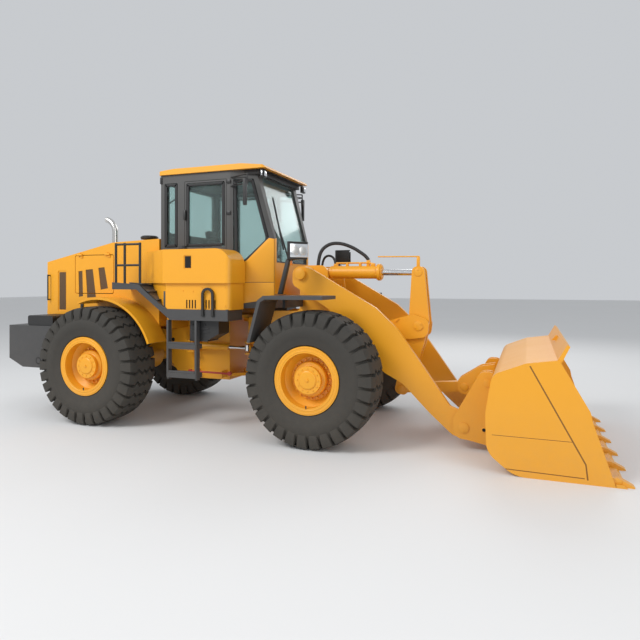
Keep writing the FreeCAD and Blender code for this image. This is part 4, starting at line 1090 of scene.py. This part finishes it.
class LOADER_OT_linkage(bpy.types.Operator):
    """Adds glands, an oil pipe and pin caps to the cylinders, the boom and the bellcrank."""
    bl_idname = "loader.linkage"
    bl_label = "Linkage fittings"

    def execute(self, context):
        x, z = TILT_BASE
        made = bmesh.new()
        for start, end, radius in ((704, 742, 104), (742, 757, 90), (100, 112, 86)):
            bar(made, (x + start, 0, z - 4), (x + end, 0, z - 4), radius, 40)
        for i in range(8):
            turn = math.pi * (i + 0.5) / 4
            dy, dz = 92 * math.cos(turn), 92 * math.sin(turn)
            bar(made, (x + 692, dy, z - 4 + dz), (x + 705, dy, z - 4 + dz), 9, 6)
        for spot in (150, 640):
            block(made, x + spot - 26, x + spot + 26, -24, 24, z + 70, z + 108)
        bar(made, (x + 150, 0, z + 116), (x + 560, 26, z + 116), 11)
        bar(made, (x + 560, 26, z + 116), (x + 640, 0, z + 104), 11)
        for spot in (300, 470):
            block(made, x + spot - 14, x + spot + 14, -16, 38, z + 74, z + 124)
        block(made, x + 546, x + 590, 22, 62, z + 72, z + 150)
        piece("tilt_gland", tidy(made), yellow(), "tilt_barrel", 0.003)
        made = bmesh.new()
        bar(made, (1968, -30, 2118), (2488, -30, 2112), 8)
        block(made, 2452, 2490, -42, -14, 1968, 2108)
        piece("level_bar", tidy(made), yellow(), "tilt_rod", 0.002)
        made = bmesh.new()
        for side in (LEFT, RIGHT):
            disc(made, 2490, 1280, 56, *pair(side, 144, 153))
            for turn in (0.6, 3.7):
                disc(made, 2490 + 40 * math.cos(turn), 1280 + 40 * math.sin(turn), 8,
                     *pair(side, 153, 159), steps=6)
            disc(made, 1760, 1330, 54, *pair(side, 600.5, 606))
            prism(made, soft((2196, 1330, 10), (2262, 1376, 10), (2270, 1360, 8), (2214, 1306, 8)), "XZ",
                  *pair(side, 0.1435, 0.158))
        piece("boom_bosses", tidy(made), yellow(), "boom", 0.003)
        made = bmesh.new()
        for side in (LEFT, RIGHT):
            for a, b in ((2480, 1920), (2270, 510)):
                disc(made, a, b, 48, *pair(side, 95.5, 103))
                disc(made, a, b + 30, 8, *pair(side, 103, 109), steps=6)
        piece("crank_bosses", tidy(made), yellow(), "bellcrank", 0.002)
        made = bmesh.new()
        for side in (LEFT, RIGHT):
            disc(made, 1170, 1900, 66, *pair(side, 631, 641))
            prism(made, soft(*rect(1146, 1194, 1828, 1852, 8)), "XZ",
                  *pair(side, 0.631, 0.644))
            disc(made, 700, 650, 48, *pair(side, 497, 503))
        piece("tower_pin_caps", tidy(made), yellow(), "front", 0.003)
        foot, head = (700, 650), (1760, 1330)
        lean = math.atan2(head[1] - foot[1], head[0] - foot[0])
        made = bmesh.new()
        for side in (LEFT, RIGHT):
            for start, end, radius in ((1010, 1052, 78), (1052, 1066, 72)):
                low, high = (
                    (foot[0] + reach * math.cos(lean), side * 430, foot[1] + reach * math.sin(lean))
                    for reach in (start, end))
                bar(made, low, high, radius, 36)
        piece("lift_glands", tidy(made), yellow(), "lift_barrels", 0.002)
        return {"FINISHED"}


TOOTH_PLACES = (-1250, -750, -250, 250, 750, 1250)


class LOADER_OT_bucket(bpy.types.Operator):
    """Adds ear bosses, tooth adapters with their pin holes as discs of painted shade, side cutters and the
    lifting eye.
    """
    bl_idname = "loader.bucket"
    bl_label = "Bucket fittings"

    def execute(self, context):
        made = bmesh.new()
        dark = bmesh.new()
        for side in (LEFT, RIGHT):
            for x, z, radius in ((3070, 240, 58), (3318, 735, 44)):
                disc(made, x, z, radius, *pair(side, 646, 655))
            disc(made, 3070, 196, 8, *pair(side, 655, 661), steps=6)
            disc(made, 3281, 235, 30, *pair(side, 646, 650))
            # A thin disc of painted shade stands for the boss's hole.
            disc(dark, 3281, 235, 19, *pair(side, 650, 650.6))
            disc(made, 3020, 580, 46, *pair(side, 95.5, 103))
        piece("bucket_bosses", tidy(made), yellow(), "bucket", 0.003)
        # The tooth adapters' pin holes are thin discs of painted shade.
        for y in TOOTH_PLACES:
            for side in (LEFT, RIGHT):
                disc(dark, 4474, 46, 11, *sorted((y + side * 45.2, y + side * 45.9)), steps=20)
        piece("bucket_hole_shade", tidy(dark), black_and_hole_shade(), "bucket")
        made = bmesh.new()
        for y in TOOTH_PLACES:
            adapter = soft((4250, 31), (4300, 62, 20), (4396, 92, 14), (4470, 86, 10), (4486, 62),
                           (4486, 31))
            prism(made, adapter, "XZ", (y - 52) / 1000, (y + 52) / 1000)
        for side in (LEFT, RIGHT):
            for shape in (
                ((4150, 490, 20), (4196, 512, 20), (4292, 372, 30), (4262, 330, 20), (4222, 300, 14)),
                ((4196, 334, 16), (4240, 352, 20), (4350, 232, 30), (4372, 150, 16), (4296, 150, 12)),
            ):
                prism(made, soft(*shape), "XZ", *pair(side, 1.262, 1.3245))
        prism(made, soft((3962, 1150), (4060, 1150), (4046, 1236, 30), (3986, 1236, 30)), "XZ", -0.016, 0.016)
        piece("tooth_adapters", tidy(made), yellow(), "bucket", 0.006)
        return {"FINISHED"}


def smooth_line(points):
    """Points read from the spline that has these control points."""
    data = bpy.data.curves.new("line", "CURVE")
    data.dimensions = "3D"
    data.resolution_u = 12
    line = data.splines.new("NURBS")
    line.points.add(len(points) - 1)
    for held, spot in zip(line.points, points):
        held.co = (*spot, 1)
    line.order_u = 3
    line.use_endpoint_u = True
    made = bpy.data.objects.new("line", data)
    bpy.context.scene.collection.objects.link(made)
    bpy.context.view_layer.update()
    held = bpy.data.meshes.new_from_object(made.evaluated_get(bpy.context.evaluated_depsgraph_get()))
    spots = [v.co.copy() for v in held.vertices]
    bpy.data.objects.remove(made)
    bpy.data.meshes.remove(held)
    bpy.data.curves.remove(data)
    return spots


def bent_hose(name, points, radius):
    """A hose from one body to the next: a mesh tube round the spline, fixed in place and riding on neither
    body.
    """
    line = smooth_line(points)
    steps = 14
    made = bmesh.new()
    up = Vector((0, 1, 0))
    rings = []
    for i, spot in enumerate(line):
        along = (line[min(i + 1, len(line) - 1)] - line[max(i - 1, 0)]).normalized()
        side = (up - along * up.dot(along)).normalized()
        other = along.cross(side)
        turns = [2 * math.pi * k / steps for k in range(steps)]
        rings.append([
            made.verts.new(spot + side * radius * math.cos(t) + other * radius * math.sin(t)) for t in turns
        ])
    for one, two in zip(rings, rings[1:]):
        for k in range(steps):
            made.faces.new((one[k - 1], one[k], two[k], two[k - 1]))
    made.faces.new(rings[0])
    made.faces.new(list(reversed(rings[-1])))
    held = piece(name, tidy(made), hose(), None)
    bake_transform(held)


class LOADER_OT_hoses(bpy.types.Operator):
    """Lays the tilt cylinder's two hoses from the front frame up to their ports."""
    bl_idname = "loader.hoses"
    bl_label = "Hoses"

    def execute(self, context):
        high = [at(*p) for p in (
            (1205, -110, 1752), (1205, -112, 1880), (1206, -114, 2040), (1240, -108, 2210), (1360, -84, 2296),
            (1500, -44, 2296), (1640, 0, 2240), (1740, 28, 2172), (1800, 40, 2126), (1828, 42, 2082))]
        low = [at(*p) for p in (
            (1175, 118, 1752), (1172, 118, 1860), (1172, 112, 1990), (1205, 90, 2108), (1270, 50, 2148),
            (1340, 18, 2140), (1390, 4, 2098), (1400, 0, 2040))]
        bent_hose("tilt_hose_high", high, 0.022)
        bent_hose("tilt_hose_low", low, 0.015)
        made = bmesh.new()
        bar(made, (1205, -110, 1735), (1205, -110, 1800), 27, 6)
        bar(made, (1175, 118, 1735), (1175, 118, 1790), 20, 6)
        piece("hose_fittings", tidy(made), bright(), "front", 0.002)
        return {"FINISHED"}


class LOADER_OT_stage(bpy.types.Operator):
    """Sets the floor, the backdrop, the lamps and the camera."""
    bl_idname = "loader.stage"
    bl_label = "Stage"

    def execute(self, context):
        scene = context.scene
        looks = scene.loader_looks
        tone = looks.floor_tone
        made = bmesh.new()
        bmesh.ops.create_grid(made, x_segments=8, y_segments=8, size=60)
        data = bpy.data.meshes.new("floor")
        made.to_mesh(data)
        made.free()
        floor = bpy.data.objects.new("floor", data)
        scene.collection.objects.link(floor)
        pale = finish("floor_tone", (tone, tone, tone), (tone * 0.97, tone * 0.97, tone * 0.96), 0.85,
                      grain=0.4, bump=0.02, fine=30.0)
        data.materials.append(pale)

        world = bpy.data.worlds.new("studio")
        scene.world = world
        world.use_nodes = True
        back = world.node_tree.nodes["Background"]
        back.inputs["Color"].default_value = (0.93, 0.96, 1.0, 1)
        back.inputs["Strength"].default_value = 0.62

        for name, place, aim, size, power in (
            ("key", (-5.5, -9.0, 9.5), (0, 0, 1.0), 5.0, 1035),
            ("fill", (8.0, -7.0, 5.0), (0, 0, 1.0), 7.0, 270),
            ("rim", (2.0, 9.0, 8.0), (0, 0, 1.2), 6.0, 315),
        ):
            lamp = bpy.data.lights.new(name, "AREA")
            lamp.energy = power
            lamp.size = size
            held = bpy.data.objects.new(name, lamp)
            held.location = place
            held.rotation_euler = (Vector(aim) - Vector(place)).to_track_quat("-Z", "Y").to_euler()
            scene.collection.objects.link(held)

        lens = bpy.data.cameras.new("camera")
        lens.lens = looks.lens
        lens.sensor_width = 36.0
        lens.shift_y = -0.057
        lens.clip_end = 200
        camera = bpy.data.objects.new("camera", lens)
        camera.location = (2.868, -6.802, 1.785)
        camera.rotation_euler = Vector((-0.349, 0.937, 0)).to_track_quat("-Z", "Y").to_euler()
        scene.collection.objects.link(camera)
        scene.camera = camera
        scene.view_settings.view_transform = "Standard"
        return {"FINISHED"}


class LOADER_PT_looks(bpy.types.Panel):
    bl_idname = "LOADER_PT_looks"
    bl_label = "Wheel loader"
    bl_space_type = "VIEW_3D"
    bl_region_type = "UI"
    bl_category = "Loader"

    def draw(self, context):
        looks = context.scene.loader_looks
        for name in ("lug_count", "lug_depth", "lens", "floor_tone"):
            self.layout.prop(looks, name)
        for group in GROUPS:
            self.layout.operator(group.bl_idname)


GROUPS = (
    LOADER_OT_stage, LOADER_OT_nodes, LOADER_OT_tyres, LOADER_OT_hubs, LOADER_OT_cab,
    LOADER_OT_cab_fittings, LOADER_OT_seat, LOADER_OT_hood, LOADER_OT_tanks, LOADER_OT_decks,
    LOADER_OT_lamps, LOADER_OT_linkage, LOADER_OT_bucket, LOADER_OT_hoses,
)
CLASSES = (LoaderLooks, *GROUPS, LOADER_PT_looks)


def register():
    for kind in CLASSES:
        bpy.utils.register_class(kind)
    bpy.types.Scene.loader_looks = bpy.props.PointerProperty(type=LoaderLooks)


def unregister():
    del bpy.types.Scene.loader_looks
    for kind in reversed(CLASSES):
        bpy.utils.unregister_class(kind)


def main():
    for held in list(bpy.data.objects):
        bpy.data.objects.remove(held)
    FRAME.update(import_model())
    register()
    for group in GROUPS:
        space, word = group.bl_idname.split(".")
        getattr(getattr(bpy.ops, space), word)()


if __name__ == "__main__":
    main()
